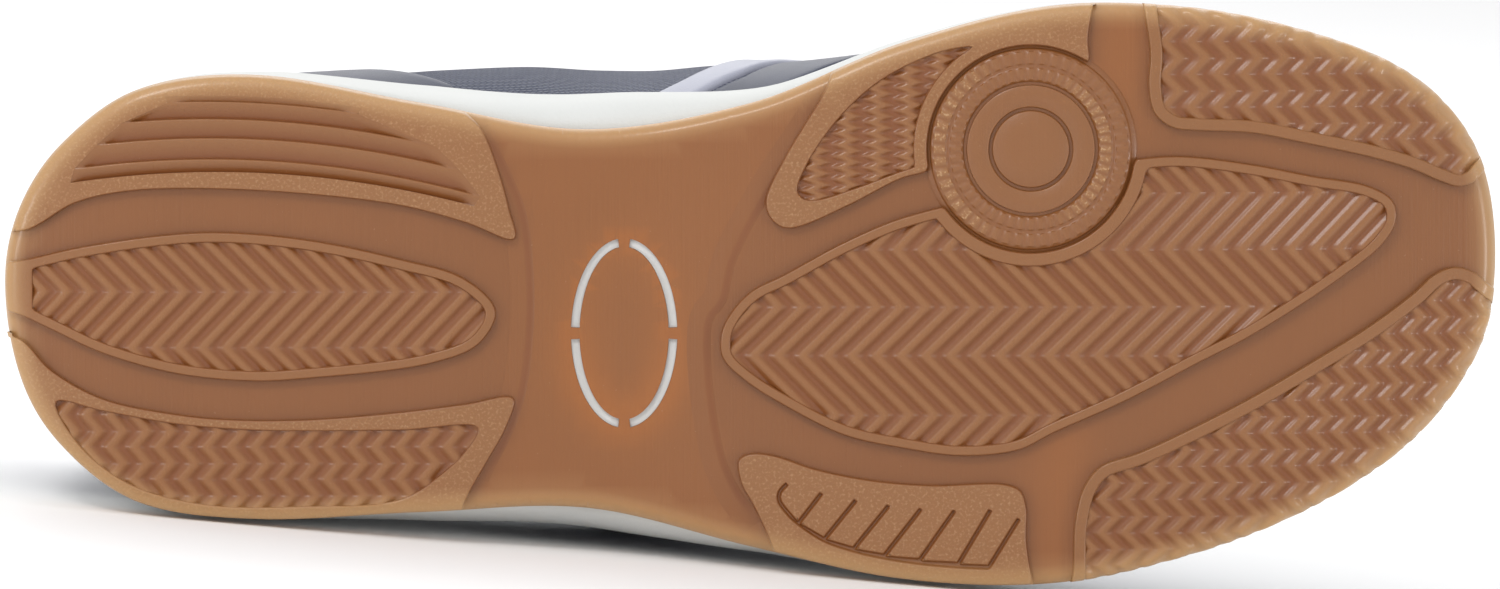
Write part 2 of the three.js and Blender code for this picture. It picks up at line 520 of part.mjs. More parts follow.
function meridian(side, share) {
  const out = edgeNormal(side, share);
  const inset = FEATHER_INSET * insetOf[side](share);
  const foot = edgePoint(side, share, -inset, footbed(share) + GAP);
  const rim = foot.clone().addScaledVector(out, RIM_LEAN).setZ(footbed(share) + RIM_HEIGHT);
  const sign = side === "Lateral" ? 1 : -1;
  const half = isClosed(share) || share === 0 ? 0 : sectionOf.open(share);
  const top = V(sectionOf.top(share) * SOLE_LENGTH, centreLine(share) + sign * half, topHeight(share));
  const height = top.z - rim.z;
  const step = 0.01;
  const slope = isClosed(share)
    ? (topHeight(share) - topHeight(share - step)) /
      ((sectionOf.top(share) - sectionOf.top(share - step)) * SOLE_LENGTH)
    : 0;
  const reach = sectionOf.shoulder(share);
  const low = rim.clone().addScaledVector(out, bellyOf[side](share));
  low.z += sectionOf.rise(share) * height;
  const high = top.clone().addScaledVector(out, reach)
    .add(V(0, 0, -sectionOf.drop(share) * height + slope * reach * out.x));
  const bend = new THREE.CubicBezierCurve3(rim, low, high, top);
  return [foot, ...Array.from({ length: SECTION_STEPS + 1 }, (_, k) => bend.getPoint(k / SECTION_STEPS))];
}

const TOP = SECTION_STEPS + 1;

// One number for each corner of the grid: both sides share the heel's and toe's columns and the ridge
function cornerOf(side, i, k) {
  const shared = i === 0 || i === LAST || (k === TOP && isClosed(STATIONS[i]));
  return ((shared || side === "Lateral" ? 0 : 1) * (LAST + 1) + i) * (TOP + 1) + k;
}

function upperGrid() {
  const points = [];
  SIDES.slice().reverse().forEach((side) => STATIONS.forEach((share, i) => {
    meridian(side, share).forEach((point, k) => { points[cornerOf(side, i, k)] = point; });
  }));
  const triangles = [];
  SIDES.forEach((side) => {
    for (let i = 0; i < LAST; i++) {
      for (let k = 0; k < TOP; k++) {
        const [a, b] = [cornerOf(side, i, k), cornerOf(side, i + 1, k)];
        const [c, d] = [cornerOf(side, i + 1, k + 1), cornerOf(side, i, k + 1)];
        const pair = [[a, c, b], [a, d, c]].filter(([p, q, r]) => p !== q && q !== r && p !== r);
        triangles.push(...(side === "Lateral" ? pair : pair.map(([p, q, r]) => [p, r, q])));
      }
    }
  });
  const normals = points.map(() => V(0, 0, 0));
  triangles.forEach(([a, b, c]) => {
    const face = V(0, 0, 0).crossVectors(points[b].clone().sub(points[a]), points[c].clone().sub(points[a]));
    [a, b, c].forEach((n) => normals[n].add(face));
  });
  normals.forEach((n) => n.normalize());
  return { points, triangles, normals };
}

const GRID = upperGrid();

// The wall, with a padded collar that swells below the topline
function wallAt(share, k) {
  const level = (k - 1) / SECTION_STEPS;
  const along = ease((PAD_ENDS_AT - share) / 0.06);
  const swell = ease((level - 0.45) / 0.3);
  const topline = 1 - 0.45 * ease((level - 0.85) / 0.15);
  return WALL + COLLAR_PAD * along * swell * topline;
}

function innerPoints() {
  const inner = [];
  SIDES.slice().reverse().forEach((side) => STATIONS.forEach((share, i) => {
    for (let k = 0; k <= TOP; k++) {
      const n = cornerOf(side, i, k);
      inner[n] = GRID.points[n].clone().addScaledVector(GRID.normals[n], -wallAt(share, k));
      if (k === 0) inner[n].z = GRID.points[n].z;
    }
  }));
  return inner;
}

const INNER = innerPoints();

// A corner number needs its points in one list without holes
function packedSheet(triangles, outerOf, innerOf) {
  const used = [...new Set(triangles.flat())];
  const place = new Map(used.map((n, i) => [n, i]));
  return thickened(triangles.map((t) => t.map((n) => place.get(n))), used.map(outerOf), used.map(innerOf));
}

// A point on the upper's facets, between its stations and rings, and its outward direction
function skin(side, share, level, lift) {
  let i = STATIONS.findIndex((s) => s >= share - SAME);
  i = clamp(i, 1, LAST);
  const across = clamp((share - STATIONS[i - 1]) / (STATIONS[i] - STATIONS[i - 1]), 0, 1);
  const row = 1 + clamp(level, 0, 1) * SECTION_STEPS;
  const k = Math.min(Math.floor(row), TOP - 1);
  const mix = (values) => {
    const at = (column, level) => values[cornerOf(side, column, level)];
    const low = at(i - 1, k).clone().lerp(at(i, k), across);
    const high = at(i - 1, k + 1).clone().lerp(at(i, k + 1), across);
    return low.lerp(high, row - k);
  };
  const normal = mix(GRID.normals).normalize();
  return { point: mix(GRID.points).addScaledVector(normal, lift), normal };
}

// The upper's eyelets, in pairs from the throat's front to its top
const EYELETS = Array.from({ length: EYELET_ROWS }, (_, row) =>
  lerp(THROAT_FRONT - 0.03, THROAT_TOP + 0.015, row / (EYELET_ROWS - 1)));
const EYELET_LEVEL = 0.91;

function eyeletPins() {
  return joined(SIDES.flatMap((side) => EYELETS.map((share) => {
    const { point, normal } = skin(side, share, EYELET_LEVEL, 0);
    const turn = new THREE.Quaternion().setFromUnitVectors(V(0, 1, 0), normal);
    const pin = new THREE.CylinderGeometry(EYELET_RADIUS, EYELET_RADIUS, 4 * WALL, PIN_SIDES);
    return solidOf(pin.applyQuaternion(turn).translate(point.x, point.y, point.z));
  })));
}

function upper() {
  const shell = packedSheet(GRID.triangles, (n) => GRID.points[n], (n) => INNER[n]);
  return geometryOfSolid(solidOf(shell).subtract(eyeletPins()));
}

// A patch over the upper, from one side or round both. A slanting one has more steps between the
// upper's stations, so that it stays clear of the facets under it.
function patch(rows, sides, steps = 1) {
  const low = between(rows, "low");
  const high = between(rows, "high");
  const [from, to] = [rows[0].at, rows[rows.length - 1].at];
  const stations = [from, ...STATIONS.filter((s) => s > from + SAME && s < to - SAME), to];
  const shares = stations.slice(1).flatMap((next, i) =>
    Array.from({ length: steps }, (_, k) => lerp(stations[i], next, k / steps)));
  shares.push(to);
  const corners = new Map();
  const outer = [];
  const inner = [];
  const corner = (side, share, level) => {
    const shared = share === 0 || share === 1 || (level === 1 && isClosed(share));
    const key = `${shared ? "both" : side} ${share.toFixed(5)} ${level.toFixed(4)}`;
    if (!corners.has(key)) {
      corners.set(key, outer.length);
      outer.push(skin(side, share, level, OVERLAY_GAP + OVERLAY).point);
      inner.push(skin(side, share, level, OVERLAY_GAP).point);
    }
    return corners.get(key);
  };
  const triangles = [];
  sides.forEach((side) => shares.slice(1).forEach((next, i) => {
    const here = shares[i];
    const level = (share, k) => lerp(low(share), high(share), k / PATCH_STEPS);
    for (let k = 0; k < PATCH_STEPS; k++) {
      const [a, b] = [corner(side, here, level(here, k)), corner(side, next, level(next, k))];
      const [c, d] = [corner(side, next, level(next, k + 1)), corner(side, here, level(here, k + 1))];
      const pair = [[a, c, b], [a, d, c]].filter(([p, q, r]) => p !== q && q !== r && p !== r);
      triangles.push(...(side === "Lateral" ? pair : pair.map(([p, q, r]) => [p, r, q])));
    }
  }));
  return thickened(triangles, outer, inner);
}

function eyestay() {
  return geometryOfSolid(solidOf(patch(EYESTAY, SIDES)).subtract(eyeletPins()));
}

// The midsole: a foam tray between the outsole and the upper, flared at the waist

function midsole() {
  const seat = (out, z) => ring((side, share) => edgePoint(side, share, out, ground(share) + z));
  const flare = (side, share) => WAIST_FLARE * flareOf[side](share);
  const rimTop = (share) => footbed(share) + RIM_HEIGHT;
  const wall = (part) => ring((side, share) => {
    const z = lerp(ground(share) + RAND_HEIGHT + GAP, rimTop(share), part);
    return edgePoint(side, share, flare(side, share) * Math.sqrt(part) - MIDSOLE_TUCK * part ** 2, z);
  });
  const round = (k, out) => ring((side, share, i) => {
    const n = cornerOf(side, i, k);
    return GRID.points[n].clone().addScaledVector(edgeNormal(side, share), out)
      .setZ(k === 0 ? footbed(share) : rimTop(share));
  });
  const waistLip = ring((side, share, i) => {
    const foot = GRID.points[cornerOf(side, i, 1)].clone();
    return foot.addScaledVector(edgeNormal(side, share), GAP + RIM_LIP).setZ(rimTop(share));
  });
  return stack([
    seat(-RAND_WALL - SEAT_DRAFT - GAP, OUTSOLE_THICKNESS + GAP),
    seat(-RAND_WALL - GAP, RAND_HEIGHT + GAP),
    seat(-RAND_DRAFT, RAND_HEIGHT + GAP),
    wall(0.45),
    wall(0.8),
    waistLip,
    round(1, WELL_GAP),
    round(0, WELL_GAP),
  ]);
}

// The insole lies in the upper on the midsole, with a dished top
function insole() {
  const inside = (in_, z) => ring((side, share) => {
    const inset = FEATHER_INSET * insetOf[side](share) + WALL + in_;
    return edgePoint(side, share, -inset, footbed(share) + GAP + z);
  });
  return stack([
    inside(INSOLE_GAP, 0),
    inside(INSOLE_GAP, INSOLE_THICKNESS),
    inside(INSOLE_GAP + INSOLE_BOWL, INSOLE_THICKNESS - INSOLE_DISH),
  ]);
}

// The tongue follows the inside of the throat, and stands out above it

const TONGUE_STEPS = 8;

// The tongue's rows above its last station, as shares of its rise and of that station's width
const TONGUE_TIP = [{ rise: 0.45, width: 0.38 }, { rise: 0.8, width: 0.58 }, { rise: 1, width: 0.46 }];

// Across the throat under the upper: down one side's inner wall, over the gap and up the other's
function archUnder(i) {
  const side = (name) => [3, 2, 1, 0].map((n) => {
    const corner = cornerOf(name, i, TOP - n);
    return INNER[corner].clone().addScaledVector(GRID.normals[corner], -TONGUE_GAP);
  });
  const [lateral, medial] = [side("Lateral"), side("Medial")];
  const [a, b] = [lateral[3], medial[3]];
  const gap = a.distanceTo(b);
  const crown = [];
  if (gap > TONGUE_GAP) {
    const bend = new THREE.CubicBezierCurve3(a,
      a.clone().add(a.clone().sub(lateral[2]).setLength(gap * 0.35)),
      b.clone().add(b.clone().sub(medial[2]).setLength(gap * 0.35)), b);
    crown.push(...[0.25, 0.5, 0.75].map((t) => bend.getPoint(t)));
  }
  return [...lateral, ...crown, ...(gap > TONGUE_GAP ? medial.reverse() : medial.slice(0, 3).reverse())];
}

// Points at even steps along a line, centred on its middle and as wide as asked
function spread(line, width, steps) {
  const lengths = line.map((_, i) => (i ? line[i].distanceTo(line[i - 1]) : 0));
  const total = lengths.reduce((a, b) => a + b, 0);
  const at = (distance) => {
    let left = clamp(distance, 0, total);
    for (let i = 1; i < line.length; i++) {
      if (left <= lengths[i] + 1e-9) return line[i - 1].clone().lerp(line[i], left / lengths[i]);
      left -= lengths[i];
    }
    return line[line.length - 1].clone();
  };
  const wide = Math.min(width, total);
  return Array.from({ length: steps + 1 }, (_, n) => at(total / 2 + (n / steps - 0.5) * wide));
}

function tongue() {
  const front = STATIONS.findIndex(isClosed) + 2;
  const top = STATIONS.findIndex((s) => s > THROAT_TOP);
  const rows = [];
  for (let i = front; i >= top; i--) {
    const width = TONGUE_WIDTH * lerp(0.7, 1, (front - i) / (front - top));
    rows.push(spread(archUnder(i), width, TONGUE_STEPS));
  }
  const [last, before] = [rows[rows.length - 1], rows[rows.length - 2]];
  const middle = TONGUE_STEPS / 2;
  const along = last[middle].clone().sub(before[middle]).normalize();
  TONGUE_TIP.forEach((tip) => rows.push(last.map((point) =>
    last[middle].clone().lerp(point, tip.width).addScaledVector(along, TONGUE_RISE * tip.rise))));
  const points = rows.flat();
  const width = TONGUE_STEPS + 1;
  const triangles = [];
  for (let r = 0; r < rows.length - 1; r++) {
    for (let c = 0; c < TONGUE_STEPS; c++) {
      const a = r * width + c;
      triangles.push([a, a + 1, a + width + 1], [a, a + width + 1, a + width]);
    }
  }
  const under = points.map((point, n) => {
    const [r, c] = [Math.floor(n / width), n % width];
    const at = (row, column) => {
      const start = clamp(row, 0, rows.length - 1) * width;
      return points[start + clamp(column, 0, TONGUE_STEPS)];
    };
    const forward = at(r - 1, c).clone().sub(at(r + 1, c));
    const across = at(r, c - 1).clone().sub(at(r, c + 1));
    const up = V(0, 0, 0).crossVectors(forward, across).normalize();
    const taper = c === 0 || c === TONGUE_STEPS ? 0.45 : 1;
    return point.clone().addScaledVector(up, -TONGUE_THICKNESS * taper);
  });
  return thickened(triangles, points, under);
}

// The lace's crossings lie on the eyestay and over the tongue, joined where they meet
function laceCrossings() {
  const lift = OVERLAY_GAP + OVERLAY + 3 * GAP;
  const ribbon = (side, row, across, nextRow) => {
    const share = (t) => lerp(EYELETS[row], EYELETS[nextRow], t);
    const rests = [
      skin(side, share(0), EYELET_LEVEL, lift),
      skin(side, share(0.25), 1, lift + GAP),
      skin(across, share(0.75), 1, lift + GAP),
      skin(across, share(1), EYELET_LEVEL, lift),
    ];
    const bend = new THREE.CatmullRomCurve3(rests.map((rest) => rest.point), false, "centripetal");
    const points = [];
    const under = [];
    for (let n = 0; n <= LACE_STEPS; n++) {
      const t = n / LACE_STEPS;
      const along = bend.getTangent(t);
      const normal = rests[0].normal.clone().lerp(rests[3].normal, t).normalize();
      const beside = V(0, 0, 0).crossVectors(along, normal).normalize();
      const face = V(0, 0, 0).crossVectors(beside, along).normalize();
      [-0.5, 0.5].forEach((part) => {
        const low = bend.getPoint(t).addScaledVector(beside, part * LACE_WIDTH);
        under.push(low);
        points.push(low.clone().addScaledVector(face, LACE_THICKNESS));
      });
    }
    const triangles = [];
    for (let n = 0; n < LACE_STEPS; n++) {
      const a = 2 * n;
      triangles.push([a, a + 1, a + 3], [a, a + 3, a + 2]);
    }
    return solidOf(thickened(triangles, points, under));
  };
  const bars = [ribbon("Lateral", 0, "Medial", 0)];
  for (let row = 0; row < EYELET_ROWS - 1; row++) {
    bars.push(ribbon("Lateral", row, "Medial", row + 1));
    bars.push(ribbon("Medial", row, "Lateral", row + 1));
  }
  return geometryOfSolid(joined(bars));
}

// The finished meshes

const finish = (color, roughness) => new THREE.MeshStandardMaterial({ color, roughness, metalness: 0 });
const gum = finish("#9e6b48", 0.45);
const foam = finish("#ecedea", 0.6);
const mesh = finish("#46506b", 0.9);
const overlay = finish("#2c3242", 0.6);
const band = finish("#a9abb9", 0.5);
const lining = finish("#2b3145", 0.95);
const lace = finish("#313a52", 0.9);

const PARTS = [
  ["outsole", outsole(), gum, 1.1],
  ["midsole", midsole(), foam, 0.25],
  ["insole", insole(), lining, 0.2],
  ["upper", upper(), mesh, 0.5],
  ["tongue", tongue(), mesh, 0.2],
  ["eyestay", eyestay(), overlay, 0.9],
  ["toe_cap", patch(TOE_CAP, SIDES), overlay, 0.9],
  ["heel_counter", patch(HEEL_COUNTER, SIDES), overlay, 0.9],
  ["side_band_lateral", patch(LATERAL_BAND, ["Lateral"]), band, 0.9],
  ["side_band_medial", patch(MEDIAL_BAND, ["Medial"], SLANT_STEPS), band, 0.9],
  ["lace_crossings", laceCrossings(), lace, 0.6],
];

const shoe = new THREE.Group();
PARTS.forEach(([name, geometry, material]) => {
  const piece = new THREE.Mesh(geometry, material);
  piece.name = name;
  shoe.add(piece);
});

// The shoe's centre of mass, from each piece's volume and density
function centreOfMass() {
  const centre = V(0, 0, 0);
  let mass = 0;
  PARTS.forEach(([, geometry, , density]) => {
    const position = geometry.getAttribute("position");
    const corner = (n) => V(0, 0, 0).fromBufferAttribute(position, geometry.index.getX(n));
    for (let n = 0; n < geometry.index.count; n += 3) {
      const [a, b, c] = [corner(n), corner(n + 1), corner(n + 2)];
      const weight = (density * a.dot(V(0, 0, 0).crossVectors(b, c))) / 6;
      centre.addScaledVector(a.add(b).add(c), weight / 4);
      mass += weight;
    }
  });
  return centre.divideScalar(mass);
}

// Lays the shoe on the flat of its hull that its weight settles on, starting on its lateral side
function lieOnSide(group) {
  const centre = centreOfMass();
  const hull = new ConvexHull().setFromObject(group);
  let down = V(0, 1, 0);
  for (let turn = 0; turn < 20; turn++) {
    const reach = (face) => (face.constant - face.normal.dot(centre)) / face.normal.dot(down);
    const faces = hull.faces.filter((face) => face.normal.dot(down) > 1e-6);
    const rest = faces.reduce((a, b) => (reach(b) < reach(a) ? b : a));
    if (rest.normal.distanceTo(down) < 1e-9) break;
    down = rest.normal.clone();
  }
  const forward = V(1, 0, 0).addScaledVector(down, -down.x).normalize();
  const up = down.clone().negate();
  const away = V(0, 0, 0).crossVectors(up, forward);
  const pose = new THREE.Matrix4().makeBasis(forward, away, up).transpose();
  group.quaternion.setFromRotationMatrix(pose);
  group.updateMatrixWorld(true);
  const box = new THREE.Box3().setFromObject(group, true);
  group.position.set(-(box.min.x + box.max.x) / 2, -(box.min.y + box.max.y) / 2, -box.min.z);
}

lieOnSide(shoe);

const root = new THREE.Group();
root.add(shoe);
export default root;
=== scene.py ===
# The looks of a left indoor court shoe that lies on its lateral side, gum sole to the viewer.
# Shapes are worked out in the shoe's own millimetres: x from heel to toe, y to the lateral side
# and z up from the tread. place() puts them into the frame's metres.
import json
import math

import bmesh
import bpy
import numpy as np
from mathutils import Matrix, Vector
from mathutils.geometry import delaunay_2d_cdt


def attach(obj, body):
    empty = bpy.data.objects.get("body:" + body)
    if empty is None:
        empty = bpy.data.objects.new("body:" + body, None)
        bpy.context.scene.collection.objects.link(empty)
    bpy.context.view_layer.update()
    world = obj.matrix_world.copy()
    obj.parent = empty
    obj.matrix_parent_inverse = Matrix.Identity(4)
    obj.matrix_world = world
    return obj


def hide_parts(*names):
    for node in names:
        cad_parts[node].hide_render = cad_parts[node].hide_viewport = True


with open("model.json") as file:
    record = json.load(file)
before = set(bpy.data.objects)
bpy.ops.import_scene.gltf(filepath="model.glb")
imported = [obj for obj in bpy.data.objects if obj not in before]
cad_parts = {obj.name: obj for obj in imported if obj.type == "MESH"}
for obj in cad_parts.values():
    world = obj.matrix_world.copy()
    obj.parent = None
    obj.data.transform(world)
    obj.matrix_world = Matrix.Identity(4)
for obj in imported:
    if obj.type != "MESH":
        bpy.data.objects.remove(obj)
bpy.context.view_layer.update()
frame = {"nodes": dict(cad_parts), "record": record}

# Sizes of the solids in the frame
SOLE_LENGTH = 275
BALL_WIDTH = 107
WAIST_WIDTH = 70
HEEL_WIDTH = 82
TOE_SPRING = 11
HEEL_BEVEL = 3
ARCH_LIFT = 2.5
OUTSOLE_THICKNESS = 5.2
LUG_DEPTH = 1.6
EDGE_ROUND = 2.4
RAND_HEIGHT = 8
RAND_WALL = 2.2
HEEL_STACK = 24
FOREFOOT_STACK = 13.5
RIM_HEIGHT = 7
RIM_LIP = 3.2
WAIST_FLARE = 9
MIDSOLE_TUCK = 2
WALL = 2.6
COLLAR_PAD = 5
PAD_ENDS_AT = 0.43
FEATHER_INSET = 7
HEEL_BACK_HEIGHT = 66
ANKLE_HEIGHT = 50
INSTEP_HEIGHT = 78
VAMP_HEIGHT = 47
TOE_BOX_HEIGHT = 34
COLLAR_WIDTH = 62
THROAT_WIDTH = 20
OVERLAY = 1.2
EYELET_ROWS = 6
EYELET_LEVEL = 0.91
LACE_WIDTH = 7
LACE_THICKNESS = 1.6
GAP = 0.3
HEEL_FLAT = (0.09, 0.29)
BALL_FLAT = (0.55, 0.74)
THROAT_FRONT = 0.67
THROAT_TOP = 0.44

# Sizes of the tread's fine relief
PIVOT = (0.687 * SOLE_LENGTH, -0.263 * BALL_WIDTH)
PIVOT_BITE = 19.15
PIVOT_POCKET_BITE = 21.6
WINDOW = (0.415 * SOLE_LENGTH, 0.085 * WAIST_WIDTH)
WINDOW_LENGTH = 35
WINDOW_WIDTH = 19.6
WINDOW_SLOT = 1.6
WINDOW_BRIDGE = 2.2
RIM_WIDTH = 1.85
TOE_RIM_WIDTH = 2.2
POCKET_DEPTH = 2.0
RIDGE_TOP = 0.3
RIDGE_FOOT = 1.05
RIB_DEPTH = 0.85
SHOULDER_TOP = 0.45
SHOULDER_ROWS = [(SHOULDER_TOP, 0), (0.3, 0), (0.09, 0.09), (0, 0.3)]  # inwards, down
LUG_FOOT = (0.12, LUG_DEPTH + 0.35)
POCKET_TAPER = 0.2
LUG_INSET = 0.15
LINE_STEP = 0.7
COMB_SLOT = 0.62
COMB_DEPTH = 0.6
HEEL_POCKET_START = 5.3
UNDER_RIM = 1.35
SIDE_REACH = 2.6
SIDE_BUMP = 0.1
EDGE_TONE_REACH = 4.5
INLAY_DEPTH = LUG_DEPTH + 0.7
RIB_ARCH = 0.0007

# The sole's edge, as shares of the width that each row follows
SOLE_EDGE = [  # at, of, medial, lateral
    (0, HEEL_WIDTH, -0.044, -0.044), (0.013, HEEL_WIDTH, -0.232, 0.196),
    (0.038, HEEL_WIDTH, -0.352, 0.326), (0.09, HEEL_WIDTH, -0.476, 0.453),
    (0.17, HEEL_WIDTH, -0.508, 0.491), (0.28, HEEL_WIDTH, -0.445, 0.475),
    (0.39, WAIST_WIDTH, -0.451, 0.547), (0.5, BALL_WIDTH, -0.341, 0.424),
    (0.6, BALL_WIDTH, -0.444, 0.479), (0.7, BALL_WIDTH, -0.508, 0.487),
    (0.79, BALL_WIDTH, -0.506, 0.44), (0.87, BALL_WIDTH, -0.465, 0.364),
    (0.94, BALL_WIDTH, -0.392, 0.251), (0.98, BALL_WIDTH, -0.29, 0.129),
    (0.995, BALL_WIDTH, -0.197, 0.042), (1, BALL_WIDTH, -0.075, -0.075)]

SIDE_STEPS = [  # at, flare medial, flare lateral, inset medial, inset lateral
    (0, 0.02, 0.02, 0.93, 0.93), (0.15, 0.05, 0.05, 0.93, 0.93), (0.29, 0.5, 0.5, 0.5, 0.6),
    (0.41, 0.9, 0.72, -0.05, 0.15), (0.53, 0.25, 0.2, 0.55, 0.8), (0.65, 0.05, 0.05, 0.95, 0.95),
    (0.85, 0, 0, 1, 1), (1, 0, 0, 0.95, 0.95)]

# The upper's sections: at, top, of, height, across, open, belly medial, belly lateral, rise,
# shoulder, drop
SECTIONS = [
    (0, 0.032, HEEL_BACK_HEIGHT, 1, COLLAR_WIDTH, 0, 0.06, 0.06, 0.38, 0.045, 0.45),
    (0.035, 0.045, HEEL_BACK_HEIGHT, 0.995, COLLAR_WIDTH, 0.29, 0.055, 0.055, 0.38, 0.045, 0.45),
    (0.11, 0.1, HEEL_BACK_HEIGHT, 0.93, COLLAR_WIDTH, 0.455, 0.05, 0.05, 0.4, 0.04, 0.42),
    (0.19, 0.185, ANKLE_HEIGHT, 1.04, COLLAR_WIDTH, 0.5, 0.08, 0.06, 0.4, 0.035, 0.4),
    (0.27, 0.265, ANKLE_HEIGHT, 1, COLLAR_WIDTH, 0.505, 0.135, 0.07, 0.42, 0.05, 0.38),
    (0.34, 0.335, ANKLE_HEIGHT, 1.14, COLLAR_WIDTH, 0.46, 0.165, 0.11, 0.42, 0.1, 0.34),
    (0.4, 0.4, INSTEP_HEIGHT, 0.93, THROAT_WIDTH, 1.16, 0.13, 0.14, 0.4, 0.17, 0.27),
    (0.44, 0.44, INSTEP_HEIGHT, 1, THROAT_WIDTH, 0.84, 0.13, 0.14, 0.38, 0.23, 0.21),
    (0.5, 0.5, INSTEP_HEIGHT, 0.915, THROAT_WIDTH, 0.66, 0.15, 0.12, 0.38, 0.26, 0.15),
    (0.58, 0.58, VAMP_HEIGHT, 1.27, THROAT_WIDTH, 0.55, 0.09, 0.06, 0.4, 0.25, 0.09),
    (0.64, 0.64, VAMP_HEIGHT, 1.08, THROAT_WIDTH, 0.44, 0.04, 0.03, 0.44, 0.25, 0.03),
    (0.67, 0.67, VAMP_HEIGHT, 1, THROAT_WIDTH, 0, 0.03, 0.025, 0.46, 0.25, 0),
    (0.73, 0.728, VAMP_HEIGHT, 0.905, THROAT_WIDTH, 0, 0.02, 0.02, 0.48, 0.25, 0),
    (0.8, 0.785, TOE_BOX_HEIGHT, 1.11, THROAT_WIDTH, 0, 0.015, 0.015, 0.5, 0.25, 0),
    (0.88, 0.83, TOE_BOX_HEIGHT, 1.01, THROAT_WIDTH, 0, 0.015, 0.015, 0.52, 0.22, 0),
    (0.95, 0.86, TOE_BOX_HEIGHT, 0.92, THROAT_WIDTH, 0, 0.015, 0.015, 0.56, 0.19, 0),
    (1, 0.885, TOE_BOX_HEIGHT, 0.83, THROAT_WIDTH, 0, 0.012, 0.012, 0.6, 0.14, 0)]

# Outlines of the lugs, the width that y is a share of first
HEEL_RIB_LUG = (HEEL_WIDTH, [
    (-0.02, -0.2), (0.011, -0.158), (0.048, -0.222), (0.082, -0.248), (0.134, -0.254), (0.203, -0.242),
    (0.266, -0.216), (0.309, -0.178), (0.342, -0.14), (0.338, -0.21), (0.332, -0.285), (0.32, -0.386),
    (0.305, -0.44), (0.29, -0.56), (0.12, -0.62), (-0.03, -0.5)])
HEEL_CENTRE_LUG = (HEEL_WIDTH, [
    (-0.03, -0.02), (-0.015, -0.075), (0.015, -0.094), (0.048, -0.12), (0.1, -0.147), (0.143, -0.156),
    (0.203, -0.139), (0.266, -0.095), (0.308, -0.052), (0.329, 0.02), (0.318, 0.094), (0.286, 0.138),
    (0.203, 0.172), (0.168, 0.178), (0.117, 0.162), (0.066, 0.115), (0.032, 0.063), (0.01, 0.03),
    (-0.015, 0.01)])
HEEL_SIDE_LUG = (HEEL_WIDTH, [
    (-0.03, 0.1), (0.008, 0.082), (0.032, 0.156), (0.066, 0.218), (0.117, 0.254), (0.152, 0.265),
    (0.203, 0.265), (0.266, 0.248), (0.309, 0.23), (0.341, 0.217), (0.336, 0.282), (0.322, 0.366),
    (0.309, 0.444), (0.295, 0.56), (0.12, 0.6), (-0.03, 0.45)])
HEEL_SIDE_POCKET = (HEEL_WIDTH, [
    (0.035, 0.225), (0.066, 0.245), (0.117, 0.275), (0.166, 0.288), (0.203, 0.29), (0.266, 0.288),
    (0.317, 0.283), (0.31, 0.33), (0.296, 0.378), (0.266, 0.443), (0.203, 0.459), (0.134, 0.455),
    (0.083, 0.407), (0.05, 0.32)])
BALL_CENTRE_LUG = (BALL_WIDTH, [
    (0.48, 0.057), (0.486, 0.022), (0.5, -0.017), (0.522, -0.046), (0.559, -0.098), (0.596, -0.14),
    (0.64, -0.172), (0.7, -0.22), (0.757, -0.245), (0.788, -0.25), (0.836, -0.235), (0.875, -0.215),
    (0.914, -0.196), (0.93, -0.17), (0.932, -0.136), (0.923, -0.097), (0.894, -0.038), (0.836, 0.057),
    (0.798, 0.107), (0.75, 0.171), (0.702, 0.226), (0.679, 0.255), (0.64, 0.265), (0.602, 0.252),
    (0.563, 0.23), (0.524, 0.181), (0.496, 0.136), (0.481, 0.097)])
MEDIAL_LUG = (BALL_WIDTH, [
    (0.51, -0.176), (0.512, -0.148), (0.52, -0.129), (0.53, -0.128), (0.565, -0.166), (0.6, -0.212),
    (0.618, -0.226), (0.66, -0.3), (0.7, -0.37), (0.725, -0.41), (0.725, -0.45), (0.725, -0.6),
    (0.6, -0.6), (0.56, -0.44), (0.55, -0.366), (0.537, -0.31), (0.523, -0.25)])
MEDIAL_POCKET = (BALL_WIDTH, [
    (0.531, -0.19), (0.537, -0.235), (0.56, -0.32), (0.591, -0.388), (0.637, -0.436), (0.66, -0.43),
    (0.66, -0.26), (0.609, -0.232), (0.57, -0.196), (0.544, -0.176), (0.535, -0.178)])
TOE_MEDIAL_LUG = (BALL_WIDTH, [
    (0.768, -0.6), (0.767, -0.42), (0.766, -0.369), (0.77, -0.324), (0.782, -0.3), (0.798, -0.295),
    (0.836, -0.29), (0.875, -0.27), (0.914, -0.248), (0.943, -0.226), (0.962, -0.205), (0.975, -0.195),
    (0.985, -0.203), (0.992, -0.222), (1.03, -0.3), (0.98, -0.5), (0.9, -0.6)])
TOE_LATERAL_LUG = (BALL_WIDTH, [
    (0.716, 0.6), (0.716, 0.458), (0.717, 0.379), (0.723, 0.319), (0.734, 0.284), (0.76, 0.26),
    (0.798, 0.215), (0.836, 0.165), (0.875, 0.107), (0.914, 0.046), (0.944, -0.01), (0.958, -0.042),
    (0.971, -0.055), (0.984, -0.047), (0.996, -0.022), (1.03, 0.05), (0.95, 0.4), (0.85, 0.6)])
COMB_LUG = (BALL_WIDTH, [
    (0.492, 0.272), (0.5, 0.262), (0.515, 0.265), (0.544, 0.289), (0.582, 0.308), (0.621, 0.316),
    (0.669, 0.314), (0.68, 0.325), (0.684, 0.352), (0.684, 0.404), (0.684, 0.6), (0.54, 0.6),
    (0.513, 0.414), (0.502, 0.353), (0.493, 0.31)])

